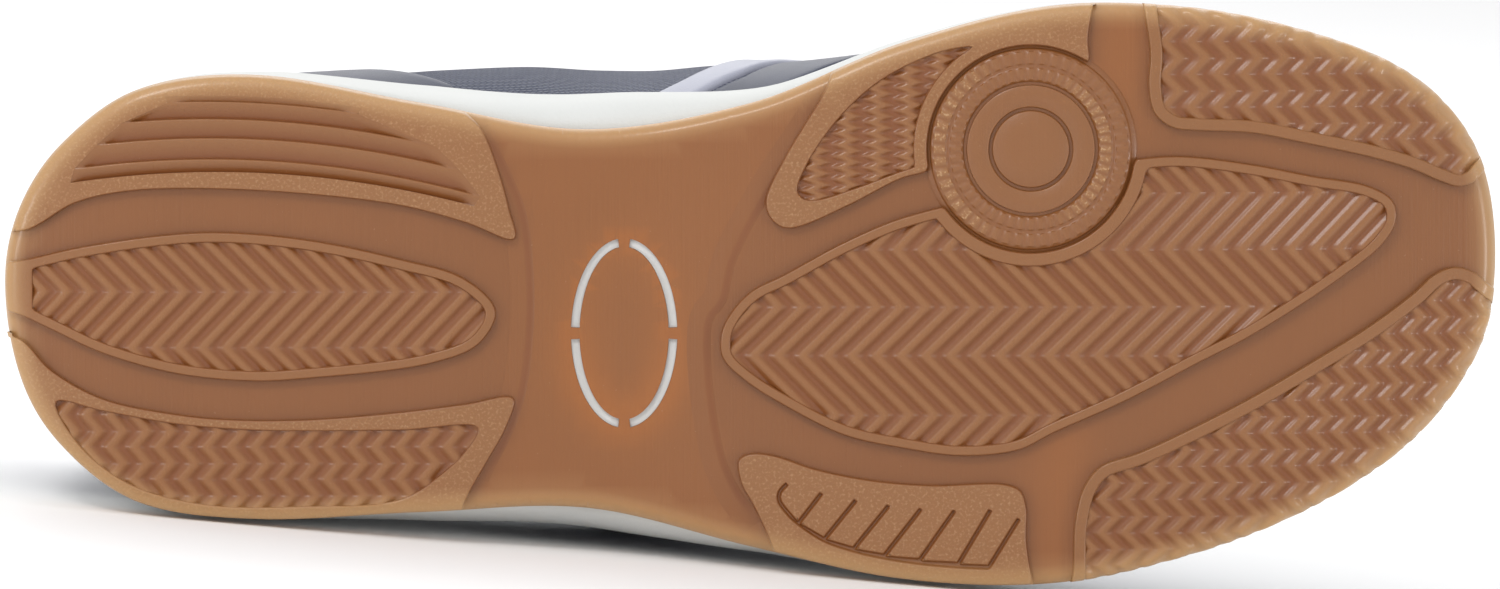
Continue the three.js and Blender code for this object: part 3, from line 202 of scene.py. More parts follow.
# The crests of the heel's ribs from the medial edge inwards: left x and y, right x and y, and the
# millimetres over which the slope before each crest fades at its left and right end
HEEL_RIBS = (HEEL_WIDTH, [
    (0.108, -0.462, 0.241, -0.436, 4, 4), (0.11, -0.448, 0.237, -0.423, 4, 4),
    (0.079, -0.402, 0.29, -0.349, 3, 12), (0.062, -0.352, 0.306, -0.295, 3, 6),
    (0.047, -0.298, 0.3195, -0.236, 3, 4), (0.0443, -0.2656, 0.3148, -0.2138, 2, 2)])
# The comb's teeth: top x, top y, foot x, foot y, and the hooked groove that their feet stand in
COMB_TEETH = (BALL_WIDTH, [
    (0.547, 0.33, 0.532, 0.38), (0.57, 0.342, 0.5495, 0.407), (0.592, 0.351, 0.569, 0.424),
    (0.6135, 0.357, 0.5895, 0.436), (0.636, 0.36, 0.613, 0.444), (0.66, 0.359, 0.639, 0.45),
    (0.679, 0.374, 0.6595, 0.455)])
COMB_FOOT = (BALL_WIDTH, [
    (0.524, 0.314), (0.5195, 0.326), (0.5185, 0.34), (0.5255, 0.366), (0.532, 0.381), (0.549, 0.4095),
    (0.569, 0.4275), (0.5895, 0.4395), (0.612, 0.4485), (0.637, 0.4545), (0.659, 0.4575)])
# Open lines along the steps at the waist's two ends
WAIST_STEP = (BALL_WIDTH, [
    (0.55, -0.35), (0.54, -0.305), (0.511, -0.191), (0.487, -0.072), (0.48, 0), (0.471, 0.033),
    (0.478, 0.255), (0.49, 0.33), (0.505, 0.38)])
HEEL_STEP = (HEEL_WIDTH, [
    (0.32, -0.39), (0.334, -0.3), (0.346, -0.2), (0.351, -0.06), (0.351, 0.06), (0.346, 0.2),
    (0.336, 0.3), (0.32, 0.4)])
# Lines along the middle of the two bands where the forefoot bends
FLEX_BANDS = [(BALL_WIDTH, [(0.756, -0.52), (0.735, -0.26)]), (BALL_WIDTH, [(0.708, 0.24), (0.706, 0.5)])]


# Small helpers

def unit(vectors):
    return vectors / np.maximum(np.linalg.norm(vectors, axis=-1, keepdims=True), 1e-9)


def beside(line):
    """The direction across an open line in the plan, at each of its points."""
    along = unit(np.gradient(line, axis=0))
    return np.stack([-along[:, 1], along[:, 0]], 1)


def run_along(line):
    """How far along a line each of its points is."""
    return np.concatenate([[0], np.cumsum(np.linalg.norm(np.diff(line, axis=0), axis=1))])


def read_off(at, places, values):
    """The values at other places, each of their columns on its own."""
    return np.stack([np.interp(at, places, values[:, n]) for n in range(values.shape[1])], -1)


# Curves through the tables

def smooth(t):
    t = np.clip(t, 0, 1)
    return t * t * (3 - 2 * t)


def turn_of(share):
    return np.arccos(1 - 2 * np.clip(share, 0, 1)) / np.pi


def share_of(turn):
    return (1 - np.cos(np.pi * np.asarray(turn))) / 2


def through(places, values):
    """A smooth function of the place along the sole, through a table's rows."""
    turns = turn_of(np.array(places, float))
    values = np.array(values, float)
    count = len(turns)
    before = np.maximum(np.arange(count) - 1, 0)
    after = np.minimum(np.arange(count) + 1, count - 1)
    slopes = (values[after] - values[before]) / (turns[after] - turns[before])

    def value(share):
        turn = turn_of(share)
        i = np.clip(np.searchsorted(turns, turn, side="right") - 1, 0, count - 2)
        span = turns[i + 1] - turns[i]
        t = (turn - turns[i]) / span
        u = 1 - t
        ends = values[i] * u * u * (1 + 2 * t) + values[i + 1] * t * t * (3 - 2 * t)
        return ends + span * t * u * (slopes[i] * u - slopes[i + 1] * t)

    return value


def column(table, n, of=None):
    return through([row[0] for row in table], [row[n] * (row[of] if of else 1) for row in table])


SIDES = ("lateral", "medial")
EDGE = {"medial": column(SOLE_EDGE, 2, 1), "lateral": column(SOLE_EDGE, 3, 1)}
FLARE = {"medial": column(SIDE_STEPS, 1), "lateral": column(SIDE_STEPS, 2)}
INSET = {"medial": column(SIDE_STEPS, 3), "lateral": column(SIDE_STEPS, 4)}


def toe_rise(share):
    return TOE_SPRING * np.maximum(0, (share - BALL_FLAT[1]) / (1 - BALL_FLAT[1])) ** 1.8


def ground(share):
    share = np.asarray(share, float)
    bevel = HEEL_BEVEL * np.maximum(0, 1 - share / HEEL_FLAT[0]) ** 2
    waist = np.clip((share - HEEL_FLAT[1]) / (BALL_FLAT[0] - HEEL_FLAT[1]), 0, 1)
    return bevel + ARCH_LIFT * np.sin(np.pi * waist) ** 2 + toe_rise(share)


def footbed(share):
    return HEEL_STACK + (FOREFOOT_STACK - HEEL_STACK) * smooth((share - 0.15) / 0.47) + 0.9 * toe_rise(share)


def edge_normal(side, share):
    step = 0.002
    turn = np.clip(turn_of(share), step, 1 - step)
    a, b = share_of(turn - step), share_of(turn + step)
    along = unit(np.stack([(b - a) * SOLE_LENGTH, EDGE[side](b) - EDGE[side](a)], -1))
    turned = np.stack([-along[..., 1], along[..., 0]], -1)
    normal = turned if side == "lateral" else -turned
    normal = np.where((share <= 0)[..., None], [-1, 0], normal)
    return np.where((share >= 1)[..., None], [1, 0], normal)


def edge_point(side, share, out, z):
    out, z = np.reshape(out, (-1, 1)), np.reshape(z, (-1, 1))
    flat = np.stack([share * SOLE_LENGTH, EDGE[side](share)], -1) + edge_normal(side, share) * out
    return np.concatenate([flat, np.broadcast_to(z, (len(share), 1))], 1)


RING_SHARES = share_of(np.linspace(0, 1, 261))
RING_SHARES[0], RING_SHARES[-1] = 0, 1


def ring(point, shares=RING_SHARES):
    """A closed ring of points: the heel, the lateral side, the toe and the medial side."""
    return np.concatenate([point("lateral", shares), point("medial", shares)[1:-1][::-1]])


# Plan shapes

def distance_to(points, line):
    """Each point's distance to a closed line."""
    start, end = line, np.roll(line, -1, 0)
    along = end - start
    length = np.maximum((along ** 2).sum(1), 1e-12)
    result = np.empty(len(points))
    for first in range(0, len(points), 4000):
        part = points[first:first + 4000, None]
        t = np.clip(((part - start) * along).sum(2) / length, 0, 1)
        near = start + along * t[..., None]
        result[first:first + 4000] = np.sqrt(((part - near) ** 2).sum(2).min(1))
    return result


def inside(points, line):
    """Whether each point is inside a closed line."""
    start, end = line, np.roll(line, -1, 0)
    result = np.empty(len(points), bool)
    for first in range(0, len(points), 4000):
        x = points[first:first + 4000, 0, None]
        y = points[first:first + 4000, 1, None]
        crosses = (start[:, 1] > y) != (end[:, 1] > y)
        rise = np.where(crosses, end[:, 1] - start[:, 1], 1)
        at = start[:, 0] + (y - start[:, 1]) * (end[:, 0] - start[:, 0]) / rise
        result[first:first + 4000] = (crosses & (x < at)).sum(1) % 2 == 1
    return result


def resample(line, step=LINE_STEP, closed=True):
    points = np.vstack([line, line[:1]]) if closed else np.asarray(line, float)
    lengths = run_along(points)
    count = max(int(round(lengths[-1] / step)), 3)
    result = read_off(np.linspace(0, lengths[-1], count + 1), lengths, points)
    return result[:-1] if closed else result


def rounded(points, closed=True):
    """A smooth line through points."""
    points = np.asarray(points, float)
    count = len(points)
    pick = (lambda n: points[n % count]) if closed else (lambda n: points[min(max(n, 0), count - 1)])
    result = []
    for i in range(count if closed else count - 1):
        a, b, c, d = (pick(i + n) for n in (-1, 0, 1, 2))
        span = [max(np.linalg.norm(q - p), 1e-6) ** 0.5 for p, q in ((a, b), (b, c), (c, d))]
        slope_b = ((b - a) / span[0] - (c - a) / (span[0] + span[1]) + (c - b) / span[1]) * span[1]
        slope_c = ((c - b) / span[1] - (d - b) / (span[1] + span[2]) + (d - c) / span[2]) * span[1]
        if not closed and i == 0:
            slope_b = c - b
        if not closed and i == count - 2:
            slope_c = c - b
        for t in np.arange(0, 1, 0.1):
            result.append(
                b * (2 * t ** 3 - 3 * t ** 2 + 1) + slope_b * (t ** 3 - 2 * t ** 2 + t)
                + c * (3 * t ** 2 - 2 * t ** 3) + slope_c * (t ** 3 - t ** 2))
    if not closed:
        result.append(points[-1])
    return np.array(result)


def plan(table, closed=True, step=LINE_STEP):
    """The smooth line through a table of places."""
    width, points = table
    scaled = np.array(points, float) * [SOLE_LENGTH, width]
    return resample(rounded(scaled, closed), step, closed)


def outline_of(table):
    return counterclockwise(plan(table))


def counterclockwise(line):
    following = np.roll(line, -1, 0)
    area = (line[:, 0] * following[:, 1] - line[:, 1] * following[:, 0]).sum()
    return line if area > 0 else line[::-1]


def grown(line, distance):
    """A closed counterclockwise line moved outwards, corner by corner."""
    along = unit(np.roll(line, -1, 0) - np.roll(line, 1, 0))
    return line + np.stack([along[:, 1], -along[:, 0]], 1) * distance


def shrunk(line, distance, step=LINE_STEP):
    """The line that runs at a distance inside a closed one, without the loops of tight corners."""
    moved = grown(line, -distance)
    keep = (distance_to(moved, line) > distance * 0.97) & inside(moved, line)
    return counterclockwise(resample(moved[keep], step))


SOLE_PLAN = counterclockwise(ring(lambda side, share: edge_point(side, share, 0, 0))[:, :2])
SOLE_LIMIT = resample(shrunk(SOLE_PLAN, LUG_INSET, 0.3), 0.3)

# A grid of cells over the plan, with each cell's distance from the sole's edge
CELL = 1.0
CORNER = np.array([-8.0, -64.0])
CELLS = (292, 126)
cell_x, cell_y = np.meshgrid(np.arange(CELLS[0]) * CELL, np.arange(CELLS[1]) * CELL, indexing="ij")
cell_points = np.stack([cell_x.ravel(), cell_y.ravel()], 1) + CORNER
DEPTH_IN = np.where(inside(cell_points, SOLE_PLAN), 1, -1) * distance_to(cell_points, SOLE_PLAN)
DEPTH_IN = DEPTH_IN.reshape(CELLS)


def from_edge(points):
    """How far inside the sole's edge each point is."""
    at = (np.asarray(points) - CORNER) / CELL
    i = np.clip(at[:, 0].astype(int), 0, CELLS[0] - 2)
    j = np.clip(at[:, 1].astype(int), 0, CELLS[1] - 2)
    u, v = at[:, 0] - i, at[:, 1] - j
    low = DEPTH_IN[i, j] * (1 - u) + DEPTH_IN[i + 1, j] * u
    high = DEPTH_IN[i, j + 1] * (1 - u) + DEPTH_IN[i + 1, j + 1] * u
    return low * (1 - v) + high * v


def tread(points, depth):
    """Points on the sole's underside, which bends up round its edge."""
    points = np.asarray(points, float)
    over = np.clip(EDGE_ROUND - from_edge(points), 0, EDGE_ROUND)
    bend = EDGE_ROUND - np.sqrt(EDGE_ROUND ** 2 - over ** 2)
    z = ground(points[:, 0] / SOLE_LENGTH) + depth + bend
    return np.column_stack([points, z])


def wrapped(points, depth):
    """Like tread(), but what lies outside the sole goes on up its side, where the relief is low."""
    points = np.asarray(points, float)
    step = 0.5
    inward = unit(np.stack([from_edge(points + [x, y]) - from_edge(points - [x, y])
                            for x, y in ((step, 0), (0, step))], 1))
    beyond = np.maximum(-from_edge(points), 0)
    near = 1 - smooth(from_edge(points) / EDGE_ROUND)
    bump = SIDE_BUMP * np.clip((RIDGE_FOOT - depth) / (RIDGE_FOOT - RIDGE_TOP), 0, 1)
    tuck = 0.8 * smooth((beyond - SIDE_REACH + 1.2) / 1.0)
    result = tread(points, depth)
    result[:, :2] += inward * (beyond + tuck - near * bump)[:, None]
    result[:, 2] += beyond
    return result


def within_sole(line):
    """A closed line whose stretches outside the sole run along its edge instead."""
    moved = line.copy()
    for n in np.nonzero(from_edge(line) < LUG_INSET)[0]:
        moved[n] = SOLE_LIMIT[((SOLE_LIMIT - line[n]) ** 2).sum(1).argmin()]
    keep = np.linalg.norm(moved - np.roll(moved, 1, 0), axis=1) > 0.05
    return counterclockwise(resample(moved[keep]))


def bitten(line, radius):
    """A closed line with the pivot's circle cut out of it."""
    centre = np.array(PIVOT)
    covered = np.linalg.norm(line - centre, axis=1) < radius
    if not covered.any():
        return line
    starts = np.nonzero(covered & ~np.roll(covered, 1))[0]
    lengths = [next(n for n in range(len(line)) if not covered[(s + n) % len(line)]) for s in starts]
    start, length = max(zip(starts, lengths), key=lambda pair: pair[1])
    kept = np.roll(line, -(start + length), 0)[:len(line) - length]
    kept = kept[np.linalg.norm(kept - centre, axis=1) >= radius]
    a = math.atan2(*(kept[-1] - centre)[::-1])
    b = math.atan2(*(kept[0] - centre)[::-1])
    for end in (b, b + 2 * math.pi, b - 2 * math.pi):
        if abs(end - a) > 2 * math.pi:
            continue
        angles = np.linspace(a, end, max(int(abs(end - a) * radius / LINE_STEP), 2) + 1)[1:-1]
        arc = centre + radius * np.stack([np.cos(angles), np.sin(angles)], 1)
        if inside(arc[len(arc) // 2:len(arc) // 2 + 1], line)[0]:
            return counterclockwise(resample(np.vstack([kept, arc])))
    return line


# Points for the inside of flat areas: close to each other near the sole's bent edge, else far apart
INSETS = (0.3, 0.7, 1.2, 1.8, 2.6, 3.6)
INSET_RINGS = np.vstack([resample(shrunk(SOLE_PLAN, inset), 1.3) for inset in INSETS])
GRID_STEP = 3.0
INNER_GRID = np.stack(np.meshgrid(np.arange(2, 275, GRID_STEP), np.arange(-56, 56, GRID_STEP)), -1)
INNER_GRID = INNER_GRID.reshape(-1, 2)
FILL_POINTS = np.vstack([INSET_RINGS, INNER_GRID[from_edge(INNER_GRID) > 4.2]])


def filled(outline, holes=()):
    """Triangles that fill a closed line and leave its holes open."""
    loops = [outline, *holes]
    spare = FILL_POINTS[inside(FILL_POINTS, outline)]
    for loop in loops:
        spare = spare[distance_to(spare, loop) > 0.6] if len(spare) else spare
    for hole in holes:
        spare = spare[~inside(spare, hole)] if len(spare) else spare
    points = np.vstack([*loops, spare])
    edges, start = [], 0
    for loop in loops:
        edges += [(start + n, start + (n + 1) % len(loop)) for n in range(len(loop))]
        start += len(loop)
    found = delaunay_2d_cdt([Vector(p) for p in points], edges, [], 0, 1e-5)
    corners = np.array([tuple(p) for p in found[0]])
    triangles = np.array([tuple(f) for f in found[2]])
    middle = corners[triangles].mean(1)
    keep = inside(middle, outline)
    for hole in holes:
        keep &= ~inside(middle, hole)
    return corners, triangles[keep]


# The frame: the two tread mounts of the record lie at known places of the shoe

MOUNTS = {mount["name"]: mount for mount in frame["record"]["mounts"]}
HEEL_MOUNT = np.array([55.0, 2.0, 0.0])
heel_tread = np.array(MOUNTS["heel_tread"]["pos_m"])
x_axis = unit(np.array(MOUNTS["forefoot_tread"]["pos_m"]) - heel_tread)
z_axis = -np.array(MOUNTS["heel_tread"]["axis"])
z_axis = unit(z_axis - x_axis * z_axis.dot(x_axis))
TO_ROW = np.stack([x_axis, np.cross(z_axis, x_axis), z_axis])
ROW_START = heel_tread - HEEL_MOUNT @ TO_ROW / 1000


def place(points):
    return np.asarray(points) @ TO_ROW / 1000 + ROW_START


def shown(name, data):
    thing = bpy.data.objects.new(name, data)
    bpy.context.scene.collection.objects.link(thing)
    return thing


class Body:
    """Points and faces of one piece, with a plan position and a tone for each point."""

    def __init__(self):
        self.points, self.faces, self.plan, self.tone, self.slots = [], [], [], [], []
        self.count = 0

    def add(self, points, faces, tone=(0, 0, 0), plan=None, slot=0):
        points = np.asarray(points, float)
        self.points.append(points)
        self.plan.append(points[:, :2] if plan is None else np.asarray(plan, float))
        self.tone.append(np.broadcast_to(np.asarray(tone, float), (len(points), 3)))
        self.faces += [tuple(int(n) + self.count for n in face) for face in faces]
        self.slots += [slot] * len(faces)
        self.count += len(points)

    def rings(self, rings, closed=True, tone=(0, 0, 0), plan=None, slot=0):
        """Quads between rings that have as many points each."""
        width = len(rings[0])
        faces = []
        for k in range(len(rings) - 1):
            for n in range(width if closed else width - 1):
                a, b = k * width + n, k * width + (n + 1) % width
                faces.append((a, b, b + width, a + width))
        self.add(np.vstack(rings), faces, tone, plan, slot)

    def sheet(self, rows, plan, slot=0):
        self.rings(rows, closed=False, plan=np.vstack(plan), slot=slot)

    def piece(self, name, materials, slot, nodes=(), angle=40, weld=0.004):
        mesh = bpy.data.meshes.new(name)
        mesh.from_pydata(place(np.vstack(self.points)).tolist(), [], self.faces)
        uv = mesh.uv_layers.new(name="plan")
        flat = np.vstack(self.plan)
        tones = np.vstack(self.tone)
        # Alpha: how near the sole's edge, where gum_rubber() paints the rubber's lighter lip and painted light for
        # the rounded edge.
        pale_lip_and_edge_light = np.clip(1 - from_edge(flat) / EDGE_TONE_REACH, 0, 1) ** 1.2
        loops = np.empty(len(mesh.loops), int)
        mesh.loops.foreach_get("vertex_index", loops)
        uv.data.foreach_set("uv", flat[loops].astype(np.float32).ravel())
        tone = mesh.color_attributes.new("tone", "FLOAT_COLOR", "POINT")
        tone.data.foreach_set("color", np.column_stack([tones, pale_lip_and_edge_light]).astype(np.float32).ravel())
        mesh.polygons.foreach_set("material_index", self.slots)
        bm = bmesh.new()
        bm.from_mesh(mesh)
        bmesh.ops.remove_doubles(bm, verts=bm.verts, dist=weld / 1000)
        bmesh.ops.dissolve_degenerate(bm, dist=1e-7, edges=bm.edges)
        bmesh.ops.recalc_face_normals(bm, faces=bm.faces)
        bm.to_mesh(mesh)
        bm.free()
        for material in materials if isinstance(materials, (list, tuple)) else [materials]:
            mesh.materials.append(material)
        mesh.shade_smooth()
        mesh.set_sharp_from_angle(angle=math.radians(angle))
        piece = shown(name, mesh)
        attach(piece, "root")
        if nodes:
            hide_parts(*nodes)
        return piece


# Materials

def linear(red, green, blue):
    """A colour of 0 to 255 a channel, as a shader wants it."""
    shares = [channel / 255 for channel in (red, green, blue)]
    return *[share / 12.92 if share < 0.0404 else ((share + 0.055) / 1.055) ** 2.4 for share in shares], 1


class Nodes:
    """Short calls for a material's nodes."""

    def __init__(self, name, colour, roughness):
        self.material = bpy.data.materials.new(name)
        self.material.use_nodes = True
        self.tree = self.material.node_tree
        self.shader = self.tree.nodes["Principled BSDF"]
        self.fix(Base_Color=colour, Roughness=roughness)
        self.material.diffuse_color = colour

    def node(self, kind, **values):
        node = self.tree.nodes.new("ShaderNode" + kind)
        for key, value in values.items():
            setattr(node, key, value)
        return node

    def link(self, source, target):
        self.tree.links.new(source, target)

    def feed(self, name, source):
        self.link(source, self.shader.inputs[name])

    def fix(self, **values):
        for name, value in values.items():
            self.shader.inputs[name.replace("_", " ")].default_value = value

    def math(self, operation, a, b=0.0, c=None):
        node = self.node("Math", operation=operation)
        for socket, value in zip(node.inputs, (a, b, c)):
            if value is None:
                continue
            if isinstance(value, (int, float)):
                socket.default_value = value
            else:
                self.link(value, socket)
        return node.outputs[0]

    def mix(self, factor, a, b):
        node = self.node("Mix", data_type="RGBA")
        for socket, value in ((node.inputs[0], factor), (node.inputs[6], a), (node.inputs[7], b)):
            if isinstance(value, (int, float, tuple)):
                socket.default_value = value
            else:
                self.link(value, socket)
        return node.outputs[2]

    def noise(self, vector, scale, detail=2.0, stretch=(1, 1, 1)):
        mapping = self.node("Mapping")
        mapping.inputs["Scale"].default_value = stretch
        self.link(vector, mapping.inputs["Vector"])
        noise = self.node("TexNoise")
        noise.inputs["Scale"].default_value = scale
        noise.inputs["Detail"].default_value = detail
        self.link(mapping.outputs[0], noise.inputs["Vector"])
        return noise.outputs["Fac"]

    def bump(self, height, strength, distance):
        bump = self.node("Bump")
        bump.inputs["Strength"].default_value = strength
        bump.inputs["Distance"].default_value = distance
        self.link(height, bump.inputs["Height"])
        self.feed("Normal", bump.outputs[0])

    def plan(self):
        return self.node("UVMap", uv_map="plan").outputs[0]

    def tone(self):
        split = self.node("SeparateColor")
        tone = self.node("Attribute", attribute_name="tone")
        self.link(tone.outputs["Color"], split.inputs[0])
        return [*split.outputs[:3], tone.outputs["Alpha"]]


def gum_rubber():
    """Tone: red is how low a place lies, and paints shade there, darker and more saturated orange in the recesses;
    green is how stippled, and it also paints highlights as lighter crests, tops and glints; blue is how orange;
    alpha is how near the edge, where the colour turns paler for the rubber's own lighter lip and as painted light
    on the rounded edge.
    """
    m = Nodes("gum_rubber", linear(124, 76, 36), 0.42)
    depth_and_shade, stipple_and_highlight, amber, edge = m.tone()
    where = m.plan()
    blotch = m.noise(where, 0.04, 3)
    colour = m.mix(blotch, linear(126, 76, 33), linear(117, 70, 28))
    orange = m.math("MINIMUM", m.math("MULTIPLY", amber, 2.0), 1.0)
    colour = m.mix(orange, colour, linear(146, 85, 28))
    # Painted shade: darker, more saturated orange where a place lies low.
    colour = m.mix(depth_and_shade, colour, linear(118, 64, 20))
    # Lighter where stippled, and painted highlights on crests, lug tops and the pivot's glints.
    colour = m.mix(m.math("MULTIPLY", stipple_and_highlight, 0.5), colour, linear(150, 106, 63))
    dotted = m.math("MAXIMUM", m.math("MULTIPLY_ADD", stipple_and_highlight, 10.0, -5.5), 0.0)
    dots = m.math("MULTIPLY", m.math("SUBTRACT", m.noise(where, 1.9, 1), 0.52), dotted)
    colour = m.mix(m.math("MAXIMUM", dots, 0.0), colour, linear(170, 132, 94))
    # Paler near the sole's edge: the rubber's own lighter lip, and painted light that makes up for the rounded
    # edge turning from the lamps.
    colour = m.mix(m.math("MULTIPLY", edge, 0.75), colour, linear(190, 152, 103))
    speck = m.math("GREATER_THAN", m.noise(where, 1.3, 1), 0.78)
    colour = m.mix(m.math("MULTIPLY", speck, 0.2), colour, linear(160, 132, 104))
    m.feed("Base Color", colour)
    grain = m.noise(where, 3.2, 3)
    smooth_part = m.math("SUBTRACT", 1.0, m.math("MAXIMUM", depth_and_shade, stipple_and_highlight))
    striation = m.math("MULTIPLY", m.noise(where, 1.8, 1, (1, 0.02, 1)), smooth_part)
    pebble = m.math("MULTIPLY", m.noise(where, 2.4, 1), m.math("MULTIPLY", stipple_and_highlight, 1.5))
    height = m.math("ADD", m.math("ADD", m.math("MULTIPLY", grain, 0.3), striation), pebble)
    m.bump(height, 0.4, 0.0002)
    m.feed("Roughness", m.math("ADD", 0.34, m.math("MULTIPLY", grain, 0.2)))
    m.fix(Subsurface_Weight=0.1, Subsurface_Radius=(0.003, 0.0015, 0.0006), Specular_IOR_Level=0.45,
          Coat_Weight=0.3, Coat_Roughness=0.2)
    return m.material


def foam():
    m = Nodes("foam", linear(203, 204, 202), 0.55)
    where = m.plan()
    m.bump(m.noise(where, 1.4, 3), 0.25, 0.0003)
    m.feed("Base Color", m.mix(m.noise(where, 0.04, 3), linear(205, 206, 204), linear(197, 199, 197)))
    m.fix(Subsurface_Weight=0.05, Subsurface_Radius=(0.002, 0.002, 0.002))
    return m.material


def cloth(name, dark, light, pitch, strength=0.8):
    """A knitted mesh whose cells lie in rows along the piece's plan."""
    m = Nodes(name, dark, 0.85)
    where = m.plan()
    split = m.node("SeparateXYZ")
    m.link(where, split.inputs[0])
    x, y = split.outputs[0], split.outputs[1]
    turn = 2 * math.pi / pitch
    row = m.math("SINE", m.math("MULTIPLY", y, turn))
    shift = m.math("MULTIPLY", m.math("SIGN", row), 0.25 * pitch)
    across = m.math("SINE", m.math("MULTIPLY", m.math("ADD", x, shift), turn * 0.7))
    cell = m.math("MULTIPLY", m.math("ABSOLUTE", row), m.math("ABSOLUTE", across))
    yarn = m.noise(where, 1.2, 3, (0.25, 3, 1))
    tint = m.math("MULTIPLY", m.math("ADD", cell, yarn), 0.5)
    m.feed("Base Color", m.mix(tint, dark, light))
    m.bump(m.math("ADD", cell, m.math("MULTIPLY", yarn, 0.4)), strength, 0.0006)
    m.fix(Sheen_Weight=0.25, Sheen_Roughness=0.5)
    return m.material


def film(name, colour, other, roughness, coat):
    """A thin, matt sheet of two close colours."""
    m = Nodes(name, colour, roughness)
    where = m.plan()
    m.feed("Base Color", m.mix(m.noise(where, 0.15, 3), colour, other))
    m.bump(m.noise(where, 3.0, 2), 0.3, 0.00025)
    m.fix(Coat_Weight=coat, Coat_Roughness=0.35)
    return m.material


GUM = gum_rubber()
FOAM = foam()
MESH = cloth("mesh", linear(42, 48, 70), linear(96, 102, 124), 1.5)
LINING = cloth("lining", linear(30, 34, 50), linear(58, 64, 84), 1.0, 0.5)
LACE = cloth("lace", linear(40, 48, 70), linear(96, 104, 128), 0.9, 0.7)
FILM = film("overlay", linear(46, 50, 66), linear(56, 61, 80), 0.48, 0.15)
BAND = film("band", linear(146, 148, 164), linear(160, 162, 176), 0.42, 0.2)
THREAD = film("thread", linear(88, 96, 122), linear(110, 118, 142), 0.7, 0.0)


# The outsole. Tones as gum_rubber() reads them: how low a place lies, which paints shade; how stippled, which also
# paints highlights; how orange

# Painted shade, with a little orange, on the tray's upper side
FLOOR_SHADE_TONE = (0.15, 0, 0.1)
# Painted highlight: lug tops and rims painted lighter
TOP_HIGHLIGHT_TONE = (0, 0.5, 0)
STIPPLE_TONE = (0, 0.75, 0)
# Painted shade: pocket floors, comb slot floors and the lugs' walls are painted darker
POCKET_SHADE_TONE = (0.6, 0, 0)
COMB_SHADE_TONE = (0.35, 0, 0)
WALL_SHADE_TONE = (0.4, 0, 0)


def ellipse(centre, half_x, half_y, start=0.0, end=2 * math.pi, count=90):
    angles = np.linspace(start, end, count + 1)
    return np.array(centre) + np.stack([half_x * np.cos(angles), half_y * np.sin(angles)], 1)


def window_slots():
    """The four arcs that are cut through the waist, with a bridge at each quarter."""
    slots = []
    half_x, half_y = WINDOW_WIDTH / 2, WINDOW_LENGTH / 2
    flat = WINDOW_BRIDGE / 2 / half_y
    steep = WINDOW_BRIDGE / 2 / half_x
    for quarter in range(4):
        low, high = (flat, steep) if quarter % 2 == 0 else (steep, flat)
        start, end = quarter * math.pi / 2 + low, (quarter + 1) * math.pi / 2 - high
        outer = ellipse(WINDOW, half_x, half_y, start, end, 26)
        inner = ellipse(WINDOW, half_x - WINDOW_SLOT, half_y - WINDOW_SLOT, start, end, 26)
        slots.append(counterclockwise(np.vstack([outer, inner[::-1]])))
    return slots


def floor_tones(points):
    """Tones between the lugs: painted shade, less of it at the waist, and more orange round the window, where the
    sole bends, and at the waist.
    """
    x, across = points.T
    heel_arc, toe_arc = plan(HEEL_STEP, False, 2.0), plan(WAIST_STEP, False, 2.0)
    after_heel = smooth((x - np.interp(across, heel_arc[:, 1], heel_arc[:, 0])) / 1.5 + 0.5)
    before_ball = smooth((np.interp(across, toe_arc[:, 1], toe_arc[:, 0]) - x) / 1.5 + 0.5)
    waist = after_heel * before_ball
    low_end = smooth((across - WINDOW[1] + 8) / 20)
    window = np.exp(-((distance_to(points, ellipse(WINDOW, 9, 16)) / 4) ** 2)) * (0.3 + 0.7 * low_end)
    flex = sum(np.exp(-(distance_to(points, plan(band, False, 2.0)) / 6) ** 2) for band in FLEX_BANDS)
    amber = 0.04 + 0.4 * window + 0.2 * flex + 0.1 * waist
    # Painted shade, less at the waist, and the orange.
    return np.stack([0.14 - 0.1 * waist, 0 * amber, amber], 1)


def tray():
    """The rubber's own body: its floor, rounded edge, rand and upper side, with the window cut through."""
    body = Body()
    slots = window_slots()
    edge = shrunk(SOLE_PLAN, 0.02, 0.8)
    corners, triangles = filled(edge, slots)
    body.add(tread(corners, LUG_DEPTH), triangles, floor_tones(corners))
    for slot in slots:
        # The slot walls are painted in shade and orange.
        body.rings([tread(slot, LUG_DEPTH), tread(slot, OUTSOLE_THICKNESS)], tone=(0.2, 0, 0.6))
    low = ground(edge[:, 0] / SOLE_LENGTH)
    bend_top = LUG_DEPTH + EDGE_ROUND
    rows = [(0.02, bend_top), (-0.1, (bend_top + RAND_HEIGHT) / 2), (-0.4, RAND_HEIGHT - 0.4),
            (-0.8, RAND_HEIGHT), (-RAND_WALL, RAND_HEIGHT), (-RAND_WALL - 0.3, OUTSOLE_THICKNESS)]
    side = [np.column_stack([grown(edge, out), low + height]) for out, height in rows]
    body.rings([tread(edge, LUG_DEPTH), *side], tone=(0, 0.1, 0.3))
    inner = counterclockwise(side[-1][:, :2])
    corners, triangles = filled(inner, slots)
    level = ground(corners[:, 0] / SOLE_LENGTH) + OUTSOLE_THICKNESS
    body.add(np.column_stack([corners, level]), triangles, FLOOR_SHADE_TONE)
    return body.piece("outsole_tray", GUM, "gum_rubber", ["outsole"])


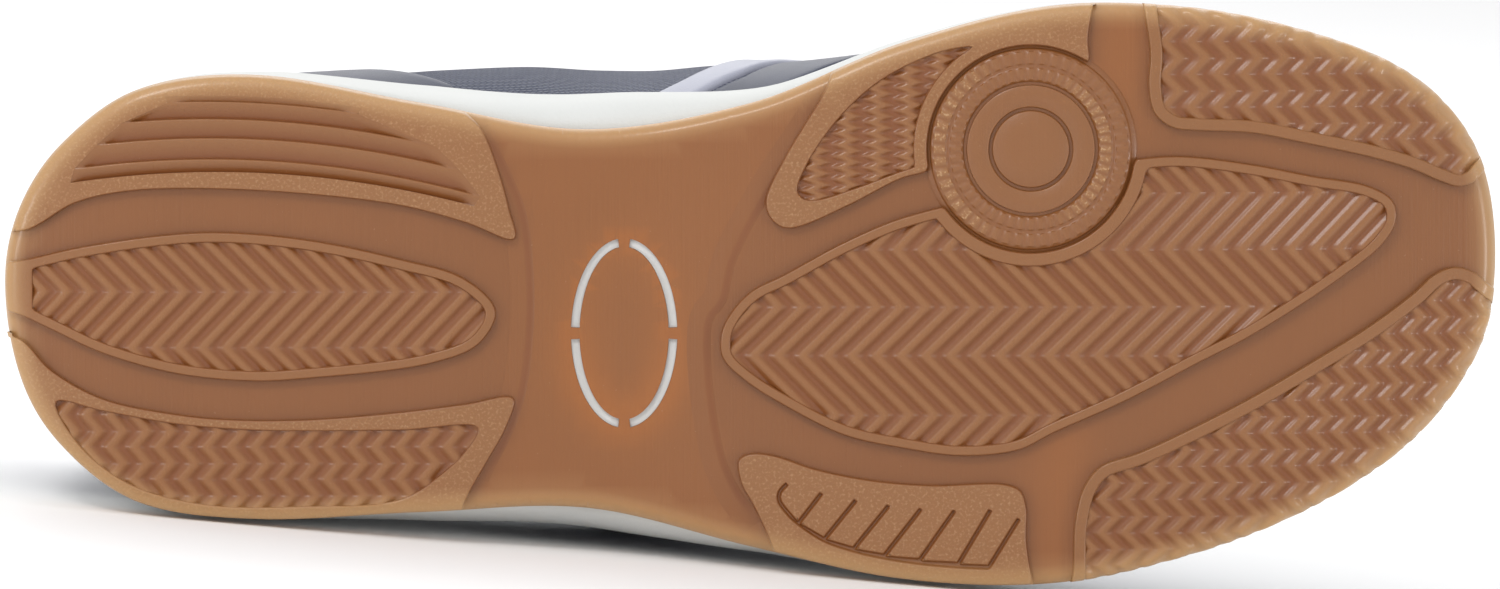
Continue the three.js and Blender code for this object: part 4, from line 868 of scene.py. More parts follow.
def land(body, outline, hole, floor, tone=TOP_HIGHLIGHT_TONE, floor_tone=POCKET_SHADE_TONE):
    """A raised lug with rounded shoulders and one hole with a floor at a depth, or at None where another
    sheet fills the hole up to its line."""
    def walls(line, rows, first_tone, first, last_tone, last):
        counts = [first * len(line), last * len(line)]
        body.rings([tread(grown(line, out), depth) for out, depth in rows],
                   tone=np.repeat([first_tone, last_tone], counts, axis=0))

    falling = [(-out, depth) for out, depth in reversed(SHOULDER_ROWS)]
    # The walls are painted in shade below their shoulders, and so is a pocket's floor; the tops get the given
    # tone.
    walls(outline, [LUG_FOOT, *falling], WALL_SHADE_TONE, 3, tone, 2)
    opening = hole
    if floor is not None:
        opening = grown(hole, SHOULDER_TOP)
        walls(hole, [*SHOULDER_ROWS, (-POCKET_TAPER, floor)], tone, 2, WALL_SHADE_TONE, 3)
        if floor < LUG_FOOT[1]:
            corners, triangles = filled(grown(hole, -POCKET_TAPER))
            body.add(tread(corners, floor), triangles, floor_tone)
    corners, triangles = filled(grown(outline, -SHOULDER_TOP), [opening])
    body.add(tread(corners, 0), triangles, tone)


def rim(body, line):
    """The raised rim of a lug whose other sides run out over the sole's edge."""
    kept = from_edge(line) > -SIDE_REACH
    start = np.nonzero(kept & ~np.roll(kept, 1))[0][0]
    line, kept = np.roll(line, -start, 0), np.roll(kept, -start)
    count = int(np.argmin(kept))
    section = [(LUG_FOOT[0], POCKET_DEPTH), *[(-out, depth) for out, depth in reversed(SHOULDER_ROWS)],
               *[(out - TOE_RIM_WIDTH, depth) for out, depth in SHOULDER_ROWS],
               (-POCKET_TAPER - TOE_RIM_WIDTH, POCKET_DEPTH)]
    rings = [wrapped(grown(line, out)[:count], np.full(count, depth)) for out, depth in section]
    # The rim is painted lighter as a highlight.
    body.rings(rings, closed=False, tone=TOP_HIGHLIGHT_TONE)


def corrugated(body, outline, turns, pitch, start, end, rows=0.9, soft=0.5, narrow=1.5, steps=8):
    """Rounded ridges that zigzag across a pocket, from start to end, as one sheet that runs on under
    the pocket's rim. Each turn is a place across the sole and the ridges' shift along it there."""
    turns = np.array(turns, float)
    y = np.unique(np.round(np.concatenate([np.arange(turns[0, 0], turns[-1, 0], rows), turns[:, 0]]), 2))
    shift = sum(weight * np.interp(y + away, turns[:, 0], turns[:, 1])
                for away, weight in ((-soft, 0.25), (0, 0.5), (soft, 0.25)))
    column_number = np.arange(int((end - start) / pitch * steps) + 1)
    x = (start + column_number * pitch / steps)[:, None] + shift
    points = np.stack([x.ravel(), np.broadcast_to(y, x.shape).ravel()], 1)
    wave = (0.5 - 0.5 * np.cos(2 * np.pi * column_number / steps)) ** narrow
    depth_and_shade = np.repeat(wave, len(y))
    good = (inside(points, outline) & (from_edge(points) > -SIDE_REACH)).reshape(x.shape)
    cell = good[:-1, :-1] & good[1:, :-1] & good[1:, 1:] & good[:-1, 1:]
    i, j = np.nonzero(cell)
    n = i * len(y) + j
    quads = np.stack([n, n + len(y), n + len(y) + 1, n + 1], 1)
    used, numbers = np.unique(quads, return_inverse=True)
    depth = RIDGE_TOP + (RIDGE_FOOT - RIDGE_TOP) * depth_and_shade[used]
    # Painted shade in the valleys and painted highlight on the crests, with a little orange.
    tone = np.stack([depth_and_shade[used], 0.6 * (1 - depth_and_shade[used]) ** 3, np.full(len(used), 0.06)], 1)
    body.add(wrapped(points[used], depth), numbers.reshape(quads.shape), tone)


def strip(body, line, section, fade=6.0):
    """A low rise along an open line, which fades out at both ends."""
    out = beside(line)
    run = run_along(line)
    share = smooth(np.minimum(run, run[-1] - run) / fade)
    rings = [tread(line + out * across, LUG_DEPTH - 0.02 - height * share) for across, height, _ in section]
    # Painted shade along the line, most on its falling flank as the section's last column says, and a little
    # orange.
    tones = [np.stack([0.1 + (depth_and_shade - 0.1) * share, 0 * share, 0.08 + 0 * share], 1) for *_, depth_and_shade in section]
    body.rings(rings, closed=False, tone=np.vstack(tones))


def teeth(low, high, half, swing):
    """The turns of a fine zigzag between two places across the sole."""
    rows = np.arange(low, high + half, half)
    return [(y, swing / 2 * (1 if n % 2 else -1)) for n, y in enumerate(rows)]


HERRING_PITCH = 4.53
HEEL_HERRING_PITCH = 4.34
BALL_TURNS = [(-31, -10.6), (-20.1, 0), (-9.5, -10.2), (0.9, 0), (10, -9.4), (20.9, 1.5), (32, -9.6)]
HEEL_TURNS = [(-16, -14), (-1.85, 0), (8.5, -10), (19, 0.5)]
RIB_SECTION = [  # part of the way to the next crest, share of the depth
    (0.0, 0.12), (0.05, 0.03), (0.11, 0.0), (0.2, 0.05), (0.4, 0.3), (0.65, 0.65), (0.88, 0.95), (0.96, 1.0)]
STEP_SECTION = [  # across, height, how much shade is painted there
    (3.5, 0.0, 0.1), (1.8, 0.12, 0.1), (0.7, 0.2, 0.1), (0.2, 0.18, 0.7), (-0.3, 0.06, 0.9), (-0.9, 0.0, 0.3),
    (-1.2, -0.2, 0.1)]


def heel_lugs(body, ridges):
    ribs_width, ribs = HEEL_RIBS
    ends = np.array(ribs)[:, :4] * [SOLE_LENGTH, ribs_width, SOLE_LENGTH, ribs_width]
    share = np.linspace(0, 1, 60)

    def crest(row):
        left, right = row[:2], row[2:]
        line = left + (right - left) * share[:, None]
        line[:, 1] -= RIB_ARCH * np.linalg.norm(right - left) ** 2 * 4 * share * (1 - share)
        return line

    crests = [crest(row) for row in ends]
    ring_points = np.vstack([crests[0], [row[2:] for row in ends[1:-1]], crests[-1][::-1],
                             [row[:2] for row in ends[1:-1][::-1]]])
    pocket = counterclockwise(resample(ring_points))
    land(body, within_sole(plan(HEEL_RIB_LUG)), grown(pocket, -0.1), None, STIPPLE_TONE)
    rings, tones = [], []
    for here, following, row in zip(crests, crests[1:], ribs[1:]):
        run = np.linalg.norm(following[-1] - following[0])
        gap = np.linalg.norm(following[30] - here[30])
        deepest = RIB_DEPTH * min(gap / 2.4, 1)
        ends_fade = smooth(np.minimum(share * run / row[4], (1 - share) * run / row[5]))
        for part, down in RIB_SECTION:
            depth = 0.03 + deepest * down * ends_fade
            rings.append(tread(here + (following - here) * part, depth))
            # Painted shade down in the grooves and painted highlight on the crests.
            tones.append(np.stack([depth ** 1.5 * 1.4, 0.5 - 0.5 * depth, 0 * depth], 1))
    # The last crest is painted lighter as a highlight.
    rings.append(tread(crests[-1], 0.04))
    tones.append(np.tile([0.0, 0.3, 0.0], (len(share), 1)))
    ridges.rings(rings, closed=False, tone=np.vstack(tones))

    outline = outline_of(HEEL_CENTRE_LUG)
    pocket = shrunk(outline, RIM_WIDTH)
    pocket[:, 0] = np.maximum(pocket[:, 0], HEEL_POCKET_START)
    pocket = resample(pocket)
    land(body, within_sole(outline), pocket, POCKET_DEPTH)
    corrugated(ridges, grown(pocket, UNDER_RIM), HEEL_TURNS, HEEL_HERRING_PITCH, -10, 110)

    pocket = outline_of(HEEL_SIDE_POCKET)
    land(body, within_sole(outline_of(HEEL_SIDE_LUG)), pocket, POCKET_DEPTH, STIPPLE_TONE)
    corrugated(ridges, grown(pocket, UNDER_RIM), teeth(15, 42, 2.95, 2.6), 4.43, 3, 97, rows=0.5)


def forefoot_lugs(body, ridges):
    outline = outline_of(BALL_CENTRE_LUG)
    pocket = bitten(shrunk(outline, RIM_WIDTH), PIVOT_POCKET_BITE)
    land(body, bitten(outline, PIVOT_BITE), pocket, POCKET_DEPTH)
    under = bitten(shrunk(outline, RIM_WIDTH - UNDER_RIM), PIVOT_POCKET_BITE - UNDER_RIM)
    corrugated(ridges, under, BALL_TURNS, HERRING_PITCH, 120, 275)

    pocket = bitten(outline_of(MEDIAL_POCKET), PIVOT_POCKET_BITE)
    outline = bitten(within_sole(outline_of(MEDIAL_LUG)), PIVOT_BITE)
    land(body, outline, pocket, POCKET_DEPTH, STIPPLE_TONE)
    corrugated(ridges, grown(pocket, UNDER_RIM), teeth(-52, -16, 1.05, 2.4), 5.7, 138, 186,
               rows=0.35, soft=0.25, narrow=1.2, steps=10)

    for table, low, high, start, pitch in (
            (TOE_MEDIAL_LUG, -60, -16, 205, 4.9), (TOE_LATERAL_LUG, -12, 58, 186, 4.34)):
        outline = outline_of(table)
        rim(body, outline)
        pocket = shrunk(outline, TOE_RIM_WIDTH - UNDER_RIM)
        corrugated(ridges, pocket, teeth(low, high, 3.03, 3.1), pitch, start, 284, rows=0.5)


def comb_lug(body):
    """The lateral lug. Its slanting slots open into one curved groove at their feet."""
    width, rows = COMB_TEETH
    groove = plan(COMB_FOOT, closed=False, step=1.0)
    out = beside(groove) * COMB_SLOT / 2
    corners = list(groove + out)
    for row in reversed(np.array(rows) * [SOLE_LENGTH, width, SOLE_LENGTH, width]):
        top, foot = row[:2], row[2:]
        down = unit(foot - top) * COMB_SLOT / 2
        aside = np.array([down[1], -down[0]])
        corners += [foot + aside, top + aside, top - aside, foot - aside]
    hook = groove[:, 1] < rows[0][3] * width - 1.2
    corners += list((groove - out)[hook][::-1])
    slots = counterclockwise(resample(np.array(corners), 0.3))
    # The slots' floors are painted in shade.
    land(body, within_sole(outline_of(COMB_LUG)), slots, COMB_DEPTH, STIPPLE_TONE, COMB_SHADE_TONE)


TICKS = 48
TICK_HEIGHT = 0.24
PIVOT_SECTION = [  # radius, depth, share of the ticks' height
    (0.01, 0.08, 0), (3.5, 0.08, 0), (6.85, 0.08, 0), (7.0, 0.2, 0), (7.15, 0.8, 0), (7.65, 0.8, 0), (7.8, 0.2, 0),
    (7.95, 0.08, 0), (11.45, 0.08, 0), (11.7, 0.2, 0), (11.85, 0.85, 0), (12.35, 0.85, 0), (12.5, 0.5, 0),
    (12.7, 0.42, 0.1), (12.85, 0.4, 1), (13.8, 0.4, 1), (14.8, 0.4, 1), (14.95, 0.42, 0.1), (15.15, 0.5, 0),
    (15.45, 0.5, 0), (15.65, 0.42, 0.1), (15.8, 0.4, 1), (16.8, 0.4, 1), (17.85, 0.4, 1), (18.0, 0.42, 0.1),
    (18.3, 0.5, 0), (18.45, 0.7, 0), (18.65, 1.1, 0), (19.3, 1.25, 0), (19.7, 1.7, 0)]


def pivot(body):
    """The turning disc: rings of rubber round a centre, two of them cut into low ticks."""
    angles = np.linspace(0, 2 * math.pi, TICKS * 8, endpoint=False)
    circle = np.stack([np.cos(angles), np.sin(angles)], 1)
    tick = (0.5 + 0.5 * np.cos(TICKS * angles)) ** 0.6
    rings = [tread(np.array(PIVOT) + circle * radius, depth - TICK_HEIGHT * share * tick)
             for radius, depth, share in PIVOT_SECTION]
    tones = []
    for radius, depth, share in PIVOT_SECTION:
        # Painted glints: ticks painted whitish, on the outer ring at the heel side, on the inner ring at the toe
        # side; painted shade where rings lie lower.
        towards = -np.cos(angles) if radius > 15.3 else np.cos(angles)
        painted_glint = share * tick * smooth((towards - 0.2) / 0.6)
        depth_and_shade = np.clip(min(depth, 0.55) - 0.3 * share * tick, 0, 1)
        tones.append(np.stack([depth_and_shade * (1 - painted_glint), 0.3 + 0.9 * painted_glint, 0 * painted_glint], 1))
    body.rings(rings, tone=np.vstack(tones))


def window_inlay():
    """The foam that shows in the window's slots."""
    body = Body()
    for slot in window_slots():
        edge = grown(slot, -0.04)
        body.rings([tread(edge, INLAY_DEPTH), tread(edge, OUTSOLE_THICKNESS + GAP)])
        corners, triangles = filled(edge)
        body.add(tread(corners, INLAY_DEPTH), triangles)
    return body.piece("window_inlay", FOAM, "foam")


tray()
lugs, ridges = Body(), Body()
heel_lugs(lugs, ridges)
forefoot_lugs(lugs, ridges)
comb_lug(lugs)
pivot(lugs)
strip(ridges, plan(WAIST_STEP, closed=False, step=1.5), STEP_SECTION)
strip(ridges, plan(HEEL_STEP, closed=False, step=1.5), STEP_SECTION)
lugs.piece("outsole_lugs", GUM, "gum_rubber", angle=50)
ridges.piece("outsole_ridges", GUM, "gum_rubber", angle=70)
window_inlay()


# The upper's surface, as a fine grid for each side

STATION_COUNT = 190
LEVELS = 44
front_turn = float(turn_of(THROAT_FRONT))
STATIONS = share_of(np.concatenate([
    np.linspace(0, front_turn, 120)[:-1],
    np.linspace(front_turn, 1, STATION_COUNT - 119)]))
STATIONS[0], STATIONS[-1] = 0, 1
CLOSED = STATIONS >= THROAT_FRONT - 1e-6
SECTION = {
    "top": column(SECTIONS, 1), "height": column(SECTIONS, 3, 2), "open": column(SECTIONS, 5, 4),
    "medial": column(SECTIONS, 6), "lateral": column(SECTIONS, 7), "rise": column(SECTIONS, 8),
    "shoulder": column(SECTIONS, 9), "drop": column(SECTIONS, 10)}
CREASES = [  # at, slant, depth, width
    (0.695, 0.012, 0.9, 0.009), (0.735, -0.006, 1.1, 0.011), (0.772, 0.01, 0.7, 0.009)]


def top_height(share):
    return footbed(SECTION["top"](share)) + SECTION["height"](share)


def centre_line(share):
    heel = EDGE["lateral"](0.0) * (1 - smooth(share / 0.1))
    return heel + EDGE["lateral"](1.0) * smooth((share - 0.6) / 0.4) / 2


def upper_points(side):
    """The foot of the wall, then the section's curve up to its end, for each station."""
    share = STATIONS
    out = np.concatenate([edge_normal(side, share), np.zeros((len(share), 1))], 1)
    inset = FEATHER_INSET * INSET[side](share)
    foot = edge_point(side, share, -inset, footbed(share) + GAP)
    rim = foot + out * 0.6
    rim[:, 2] = footbed(share) + RIM_HEIGHT
    sign = 1 if side == "lateral" else -1
    half = np.where(CLOSED | (share == 0), 0, SECTION["open"](share))
    middle = centre_line(share) + sign * half
    top = np.stack([SECTION["top"](share) * SOLE_LENGTH, middle, top_height(share)], 1)
    height = top[:, 2] - rim[:, 2]
    step = 0.01
    run = (SECTION["top"](share) - SECTION["top"](share - step)) * SOLE_LENGTH
    slope = np.where(CLOSED, (top_height(share) - top_height(share - step)) / np.where(run == 0, 1, run), 0)
    reach = SECTION["shoulder"](share) * BALL_WIDTH
    low = rim + out * (SECTION[side](share) * BALL_WIDTH)[:, None]
    low[:, 2] += SECTION["rise"](share) * height
    high = top + out * reach[:, None]
    high[:, 2] += slope * reach * out[:, 0] - SECTION["drop"](share) * height
    t = np.linspace(0, 1, LEVELS)[None, :, None]
    curve = (rim[:, None] * (1 - t) ** 3 + 3 * low[:, None] * t * (1 - t) ** 2
             + 3 * high[:, None] * t ** 2 * (1 - t) + top[:, None] * t ** 3)
    return np.concatenate([foot[:, None], curve], 1)


SURFACE = {side: upper_points(side) for side in SIDES}


def surface_normals(side):
    grid = SURFACE[side]
    along = np.gradient(grid, axis=0)
    up = np.gradient(grid[:, 1:], axis=1)
    up = np.concatenate([up[:, :1], up], 1)
    normal = unit(np.cross(along, up))
    outwards = grid[60, 10] - grid.mean((0, 1))
    return normal if (normal[60, 10] * outwards).sum() > 0 else -normal


NORMALS = {side: surface_normals(side) for side in SIDES}
for end in (0, -1):
    shared = NORMALS["lateral"][end] + NORMALS["medial"][end]
    shared[:, 1] = 0
    NORMALS["lateral"][end] = NORMALS["medial"][end] = unit(shared)
ridge = unit(NORMALS["lateral"][CLOSED, -1] + NORMALS["medial"][CLOSED, -1])
for side in SIDES:
    NORMALS[side][CLOSED, -1] = ridge


def crease_depth(share, level):
    """The soft troughs across the vamp, where the shoe bends, with a low ridge between them."""
    depth = np.zeros(np.broadcast(share, level).shape)
    for at, slant, depth_and_shade, wide in CREASES:
        away = (share - at - slant * (1 - level)) / wide
        depth += depth_and_shade * (np.exp(-away ** 2) - 0.45 * np.exp(-((away - 1.7) / 1.2) ** 2))
    return depth * smooth((level - 0.4) / 0.35)


LEVEL_GRID = np.concatenate([[0], np.linspace(0, 1, LEVELS)])
for side in SIDES:
    SURFACE[side] = SURFACE[side] - NORMALS[side] * crease_depth(STATIONS[:, None], LEVEL_GRID)[..., None]


def wall_at(share, level):
    """The wall's thickness, which swells to the collar's padding."""
    along = smooth((PAD_ENDS_AT - share) / 0.06)
    swell = smooth((level - 0.45) / 0.3)
    return WALL + COLLAR_PAD * along * swell * (1 - 0.45 * smooth((level - 0.85) / 0.15))


def skin(side, share, level, lift=0.0):
    """Points on the upper, and their outward directions."""
    share, level = np.broadcast_arrays(np.asarray(share, float), np.asarray(level, float))
    i = np.clip(np.searchsorted(STATIONS, share) - 1, 0, len(STATIONS) - 2)
    u = ((share - STATIONS[i]) / (STATIONS[i + 1] - STATIONS[i]))[..., None]
    row = 1 + np.clip(level, 0, 1) * (LEVELS - 1)
    k = np.minimum(row.astype(int), LEVELS - 1)
    v = (row - k)[..., None]

    def mixed(grid):
        low = grid[i, k] * (1 - u) + grid[i + 1, k] * u
        high = grid[i, k + 1] * (1 - u) + grid[i + 1, k + 1] * u
        return low * (1 - v) + high * v

    normal = unit(mixed(NORMALS[side]))
    return mixed(SURFACE[side]) + normal * np.asarray(lift)[..., None], normal


def cloth_plan(side, share, level):
    """Where the knit's rows run: along the shoe and up its sides, in millimetres."""
    sign = 1 if side == "lateral" else -1
    return np.stack([share * SOLE_LENGTH, sign * (20 + level * 75)], -1)


def upper_piece():
    """The hollow wall: outside, lining, a rounded lip where it is open, and its foot."""
    body = Body()
    share, level = np.meshgrid(STATIONS, LEVEL_GRID, indexing="ij")
    wall = wall_at(share, level)[..., None]
    opened = ~CLOSED
    opened[np.argmax(CLOSED)] = True
    for side in SIDES:
        outer = SURFACE[side]
        inner = outer - NORMALS[side] * wall
        inner[:, 0, 2] = outer[:, 0, 2]
        flat = cloth_plan(side, share, level)
        body.sheet(outer, flat)
        body.sheet(inner, flat, slot=1)
        end, inwards = outer[:, -1], NORMALS[side][:, -1] * wall[:, -1]
        lip = [end, end - inwards * 0.2 + [0, 0, 0.5], end - inwards * 0.8 + [0, 0, 0.5], inner[:, -1]]
        body.sheet([line[opened] for line in lip], [flat[opened, -1]] * 4, slot=1)
        body.sheet([outer[:, 0], inner[:, 0]], [flat[:, 0]] * 2, slot=1)
    return body.piece("upper_shell", [MESH, LINING], "mesh", ["upper"], angle=60, weld=0.01)


upper_piece()


# The pieces laid over the upper

def overlay_piece(name, rows, sides, material, slot, nodes, lift=OVERLAY, edge=1.4):
    """A film over the upper between two lines. Each row is a place, a lower and an upper level."""
    body = Body()
    table = np.array(rows, float)
    shares = np.unique(np.concatenate([np.linspace(table[0, 0], table[-1, 0], 70), table[:, 0]]))
    low = np.interp(shares, table[:, 0], table[:, 1])
    high = np.interp(shares, table[:, 0], table[:, 2])
    across = np.array([0, 0.008, 0.03, 0.07, 0.14, 0.25, 0.4, 0.5, 0.6, 0.75, 0.86, 0.93, 0.97, 0.992, 1])
    share = np.repeat(shares[:, None], len(across), 1)
    level = low[:, None] + (high - low)[:, None] * across
    for side in sides:
        base, _ = skin(side, share, level)
        run = np.linalg.norm(np.diff(base, axis=1), axis=2)
        from_low = np.concatenate([np.zeros((len(shares), 1)), np.cumsum(run, 1)], 1)
        border = np.minimum(from_low, from_low[:, -1:] - from_low)
        steps = np.linalg.norm(np.diff(base, axis=0), axis=2)
        from_start = np.concatenate([np.zeros((1, len(across))), np.cumsum(steps, 0)], 0)
        if table[0, 0] > 0:
            border = np.minimum(border, from_start)
        if table[-1, 0] < 1:
            border = np.minimum(border, from_start[-1:] - from_start)
        if ((level > 0.999) & (share >= THROAT_FRONT - 1e-6)).any():
            whole = np.minimum(from_low, np.where(from_start > 0, from_start[-1:] - from_start, 99))
            border = np.where(share >= THROAT_FRONT, whole, border)
        height = lift * np.sqrt(1 - (1 - np.clip(border / edge, 0, 1)) ** 2) - 0.25 * (border <= 0)
        top, _ = skin(side, share, level, height)
        under, _ = skin(side, share, level, -0.4)
        flat = cloth_plan(side, share, level)
        body.sheet(top, flat)
        body.sheet(under, flat)
        for border_line in (np.s_[:, 0], np.s_[:, -1], 0, -1):
            body.sheet([top[border_line], under[border_line]], [flat[border_line]] * 2)
    return body.piece(name, material, slot, nodes, angle=55)


TOE_CAP = [(0.86, 0.0, 0.1), (0.9, 0.0, 0.26), (0.95, 0.0, 0.44), (1, 0.0, 0.56)]
HEEL_COUNTER = [(0, 0.0, 0.7), (0.06, 0.0, 0.68), (0.16, 0.0, 0.56), (0.24, 0.0, 0.34), (0.3, 0.0, 0.12)]
LATERAL_BAND = [(0.47, 0.6, 0.74), (0.53, 0.36, 0.6), (0.59, 0.16, 0.4), (0.65, 0.0, 0.2)]
MEDIAL_BAND = [(0.425, 0.0, 0.05), (0.46, 0.05, 0.16), (0.5, 0.17, 0.3), (0.54, 0.33, 0.46), (0.6, 0.5, 0.62),
               (0.65, 0.6, 0.7)]
MEDIAL_FILM = [(0.45, 0.0, 0.02), (0.5, 0.02, 0.155), (0.54, 0.1, 0.315), (0.58, 0.2, 0.43), (0.64, 0.3, 0.5),
               (0.7, 0.2, 0.34), (0.74, 0.1, 0.16)]
EYESTAY = [(0.42, 0.84, 1), (0.5, 0.8, 1), (0.6, 0.76, 1), (0.66, 0.76, 1), (0.685, 0.84, 1), (0.7, 0.95, 1)]
overlay_piece("toe_overlay", TOE_CAP, SIDES, FILM, "overlay", ["toe_cap"])
overlay_piece("heel_overlay", HEEL_COUNTER, SIDES, FILM, "overlay", ["heel_counter"])
overlay_piece("eyestay_overlay", EYESTAY, SIDES, FILM, "overlay", ["eyestay"])
overlay_piece("band_lateral", LATERAL_BAND, ["lateral"], BAND, "band", ["side_band_lateral"])
overlay_piece("band_medial", MEDIAL_BAND, ["medial"], BAND, "band", ["side_band_medial"])
overlay_piece("film_medial", MEDIAL_FILM, ["medial"], FILM, "overlay", [], lift=0.6)


# The midsole

def midsole_piece():
    """The foam tray: its seat on the rubber, its outside, its lip round the upper and its floor."""
    body = Body()

    def rim_top(share):
        return footbed(share) + RIM_HEIGHT

    def wall(part, out_more):
        def point(side, share):
            low = ground(share) + RAND_HEIGHT + 0.05
            flare = WAIST_FLARE * FLARE[side](share) * math.sqrt(part) - MIDSOLE_TUCK * part ** 2
            return edge_point(side, share, flare + out_more, low + (rim_top(share) - low) * part)
        return ring(point, STATIONS)

    def around(level, out, z):
        def point(side, share):
            base = SURFACE[side][:, level].copy()
            base[:, :2] += edge_normal(side, share) * out
            base[:, 2] = z(share)
            return base
        return ring(point, STATIONS)

    def seat(out, z):
        return ring(lambda side, share: edge_point(side, share, out, ground(share) + z), STATIONS)

    outside = [(0.02, -0.5), (0.08, -0.4), (0.2, -0.2), (0.35, -0.05), (0.5, 0), (0.65, 0), (0.8, -0.05),
               (0.9, -0.3), (0.96, -0.8)]
    rings = [
        seat(-RAND_WALL - 0.6, OUTSOLE_THICKNESS + 0.05), seat(-RAND_WALL - 0.2, RAND_HEIGHT + 0.05),
        seat(-0.6, RAND_HEIGHT + 0.05), *[wall(part, out) for part, out in outside],
        around(1, GAP + RIM_LIP - 0.2, lambda share: rim_top(share) - 0.4),
        around(1, GAP + RIM_LIP - 0.9, rim_top), around(1, GAP, rim_top), around(0, GAP, footbed)]
    body.rings(rings)
    for line in (rings[0], rings[-1]):
        count = len(line)
        faces = [(n, n + 1, (count - n - 1) % count, (count - n) % count) for n in range(count // 2)]
        body.add(line, [tuple(dict.fromkeys(face)) for face in faces if len(set(face)) > 2])
    return body.piece("midsole_foam", FOAM, "foam", ["midsole"], angle=60)


midsole_piece()


# Insole and tongue, smoothed from the frame's own solids

def softened(node, name, material, levels):
    mesh = frame["nodes"][node].data.copy()
    bm = bmesh.new()
    bm.from_mesh(mesh)
    bmesh.ops.remove_doubles(bm, verts=bm.verts, dist=1e-6)
    bmesh.ops.join_triangles(bm, faces=bm.faces, angle_face_threshold=0.9, angle_shape_threshold=1.6)
    bm.to_mesh(mesh)
    bm.free()
    shoe = (np.array([v.co for v in mesh.vertices]) - ROW_START) @ TO_ROW.T * 1000
    for layer in list(mesh.uv_layers):
        mesh.uv_layers.remove(layer)
    uv = mesh.uv_layers.new(name="plan")
    for loop, item in zip(mesh.loops, uv.data):
        item.uv = shoe[loop.vertex_index][:2]
    mesh.materials.clear()
    mesh.materials.append(material)
    mesh.shade_smooth()
    piece = shown(name, mesh)
    smoother = piece.modifiers.new("soft", "SUBSURF")
    smoother.levels = smoother.render_levels = levels
    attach(piece, "root")
    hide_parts(node)
    return piece


softened("tongue", "tongue_pad", MESH, 2)
softened("insole", "footbed_pad", LINING, 1)


# Lace, eyelets and stitches

EYELETS = np.linspace(THROAT_FRONT - 0.03, THROAT_TOP + 0.015, EYELET_ROWS)
LACE_SECTION = [  # shares of the width and of the thickness
    (0.5, 0.1), (0.47, 0.8), (0.25, 1.05), (0, 1.1), (-0.25, 1.05), (-0.47, 0.8), (-0.5, 0.1),
    (-0.3, -0.05), (0.3, -0.05)]
LACE_SAG = 0.85
EYELET_SECTION = [  # radius, height
    (2.1, -2.2), (2.1, 0.1), (2.3, 0.4), (2.8, 0.45), (3.3, 0.3), (3.5, -0.1), (3.5, -0.6)]


def ribbon(body, points, normals):
    """A flat lace through points, with its face towards the normals."""
    line = resample(rounded(points, False), 0.8, False)
    normal = read_off(np.linspace(0, 1, len(line)), np.linspace(0, 1, len(normals)), normals)
    along = unit(np.gradient(line, axis=0))
    side = unit(np.cross(along, normal))
    face = np.cross(side, along)
    across = [x * LACE_WIDTH for x, _ in LACE_SECTION]
    grid = np.stack([line + side * x + face * y * LACE_THICKNESS * LACE_SAG
                     for x, (_, y) in zip(across, LACE_SECTION)], 1)
    count = len(across)
    flat = np.stack([np.repeat(run_along(line), count), np.tile(across, len(line))], 1)
    body.rings(grid, plan=flat)
    for end, ends_flat in ((grid[0], flat[:count]), (grid[-1], flat[-count:])):
        body.add(end, [range(count)], plan=ends_flat)


def lace_piece():
    body = Body()
    lift = OVERLAY + 0.3

    def crossing(side, row, other, next_row, more=0):
        half = [(0, EYELET_LEVEL, -1.5), (0.02, EYELET_LEVEL + 0.01, lift), (0.2, 0.985, lift + 0.2 + more)]
        rests = [(side, *rest) for rest in half] + [(other, 1 - t, *rest) for t, *rest in reversed(half)]
        span = EYELETS[next_row] - EYELETS[row]
        found = [skin(at, EYELETS[row] + span * t, level, high) for at, t, level, high in rests]
        ribbon(body, *np.swapaxes(found, 0, 1))

    crossing("lateral", 0, "medial", 0)
    for row in range(EYELET_ROWS - 1):
        crossing("lateral", row, "medial", row + 1)
        crossing("medial", row, "lateral", row + 1, 1.3)
    return body.piece("lace", LACE, "lace", ["lace_crossings"], angle=60)


def eyelet_piece():
    body = Body()
    angles = np.linspace(0, 2 * math.pi, 24, endpoint=False)
    for side in SIDES:
        for share in EYELETS:
            point, normal = skin(side, share, EYELET_LEVEL, OVERLAY)
            first = unit(np.cross(normal, [1.0, 0, 0]))
            second = np.cross(normal, first)
            circle = np.cos(angles)[:, None] * first + np.sin(angles)[:, None] * second
            body.rings([point + circle * radius + normal * height for radius, height in EYELET_SECTION])
    return body.piece("eyelets", BAND, "band")


def stitch_piece():
    """Single stitches along the overlays' edges, each a low pyramid."""
    body = Body()
    pitch, stitch, half, height = 2.6, 1.7, 0.24, 0.3
    faces = [(0, 1, 4), (1, 2, 4), (2, 3, 4), (3, 0, 4), (0, 3, 2, 1)]

    def row_of(side, shares, levels, lift):
        points, normals = skin(side, shares, levels, lift)
        lengths = run_along(points)
        for start in np.arange(0.5, lengths[-1] - stitch, pitch):
            ends = read_off([start, start + stitch / 2, start + stitch], lengths, points)
            normal = read_off(start, lengths, normals)
            aside = np.cross(unit(ends[2] - ends[0]), normal) * half
            body.add([ends[0], ends[1] + aside, ends[2], ends[1] - aside, ends[1] + normal * height], faces)

    for side in SIDES:
        for table, edge, after, offset in (
                (TOE_CAP, 2, 0.005, -0.035), (HEEL_COUNTER[:3], 2, 0.005, -0.035), (EYESTAY[:5], 1, 0.006, 0.02)):
            rows = np.array(table, float)
            shares = np.linspace(rows[0, 0] + after, rows[-1, 0], 160)
            row_of(side, shares, np.interp(shares, rows[:, 0], rows[:, edge]) + offset, OVERLAY)
        row_of(side, np.linspace(0.435, 0.665, 160), np.full(160, 0.985), OVERLAY)
        row_of(side, np.linspace(0.0, 0.42, 240), np.full(240, 0.9), 0.05)
    return body.piece("stitches", THREAD, "lace")


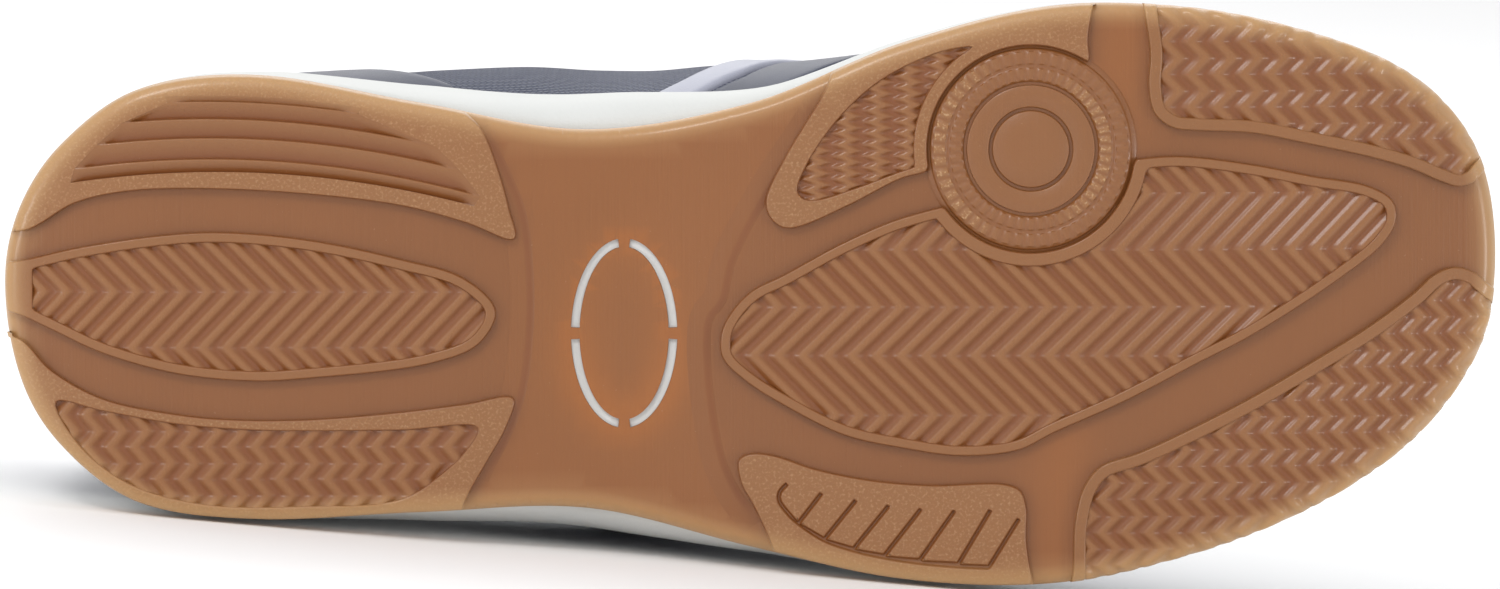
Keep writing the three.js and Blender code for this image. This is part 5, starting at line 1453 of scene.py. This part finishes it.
lace_piece()
eyelet_piece()
stitch_piece()


# Stage, light and camera

def stage():
    mesh = bpy.data.meshes.new("floor")
    reach = 4.0
    mesh.from_pydata([(-reach, -reach, 0), (reach, -reach, 0), (reach, reach, 0), (-reach, reach, 0)], [],
                     [(0, 1, 2, 3)])
    floor = shown("floor", mesh)
    floor.location.z = -0.0004
    light, dark = (0.93, 0.93, 0.93, 1), (0.91, 0.91, 0.92, 1)
    paint = Nodes("floor_paint", light, 0.7)
    patches = paint.noise(paint.node("TexCoord").outputs["Object"], 3.0)
    paint.feed("Base Color", paint.mix(patches, light, dark))
    mesh.materials.append(paint.material)
    world = bpy.data.worlds.new("studio")
    world.use_nodes = True
    sky = world.node_tree.nodes["Background"]
    sky.inputs["Color"].default_value = (1, 1, 1, 1)
    sky.inputs["Strength"].default_value = 1.0
    bpy.context.scene.world = world


def area_light(name, location, target, size, power):
    light = bpy.data.lights.new(name, "AREA")
    light.size = size
    light.energy = power
    lamp = shown(name, light)
    lamp.location = location
    lamp.rotation_euler = (Vector(target) - Vector(location)).to_track_quat("-Z", "Y").to_euler()


CAMERA_MEDIAL_DEG = 3.0
FRAME_WIDTH = 0.2758
IMAGE_CENTRE = (137.3, -1.4)
LENS, SENSOR = 400.0, 36.0


def camera():
    angle = math.radians(CAMERA_MEDIAL_DEG)
    medial, sole_out = -TO_ROW[1], -TO_ROW[2]
    back = sole_out * math.cos(angle) + medial * math.sin(angle)
    up = medial * math.cos(angle) - sole_out * math.sin(angle)
    centre = place([*IMAGE_CENTRE, 0.0])
    distance = FRAME_WIDTH * LENS / SENSOR
    data = bpy.data.cameras.new("camera")
    data.lens = LENS
    data.sensor_width = SENSOR
    data.clip_start = 0.01
    view = shown("camera", data)
    columns = np.stack([np.cross(up, back), up, back, centre + back * distance], 1)
    view.matrix_world = Matrix([*columns.tolist(), [0, 0, 0, 1]])
    bpy.context.scene.camera = view


stage()
area_light("key", (-0.5, -0.9, 0.95), (0, 0, 0.05), 0.3, 5)
area_light("low_left", (-1.1, -0.8, 0.06), (0, 0, 0.02), 0.3, 3.5)
area_light("low_right", (1.3, -0.75, 0.06), (0, 0, 0.02), 0.3, 4.5)
area_light("back", (0.0, 1.0, 0.9), (0, 0, 0.05), 0.9, 4)
camera()
bpy.context.scene.view_settings.view_transform = "Standard"
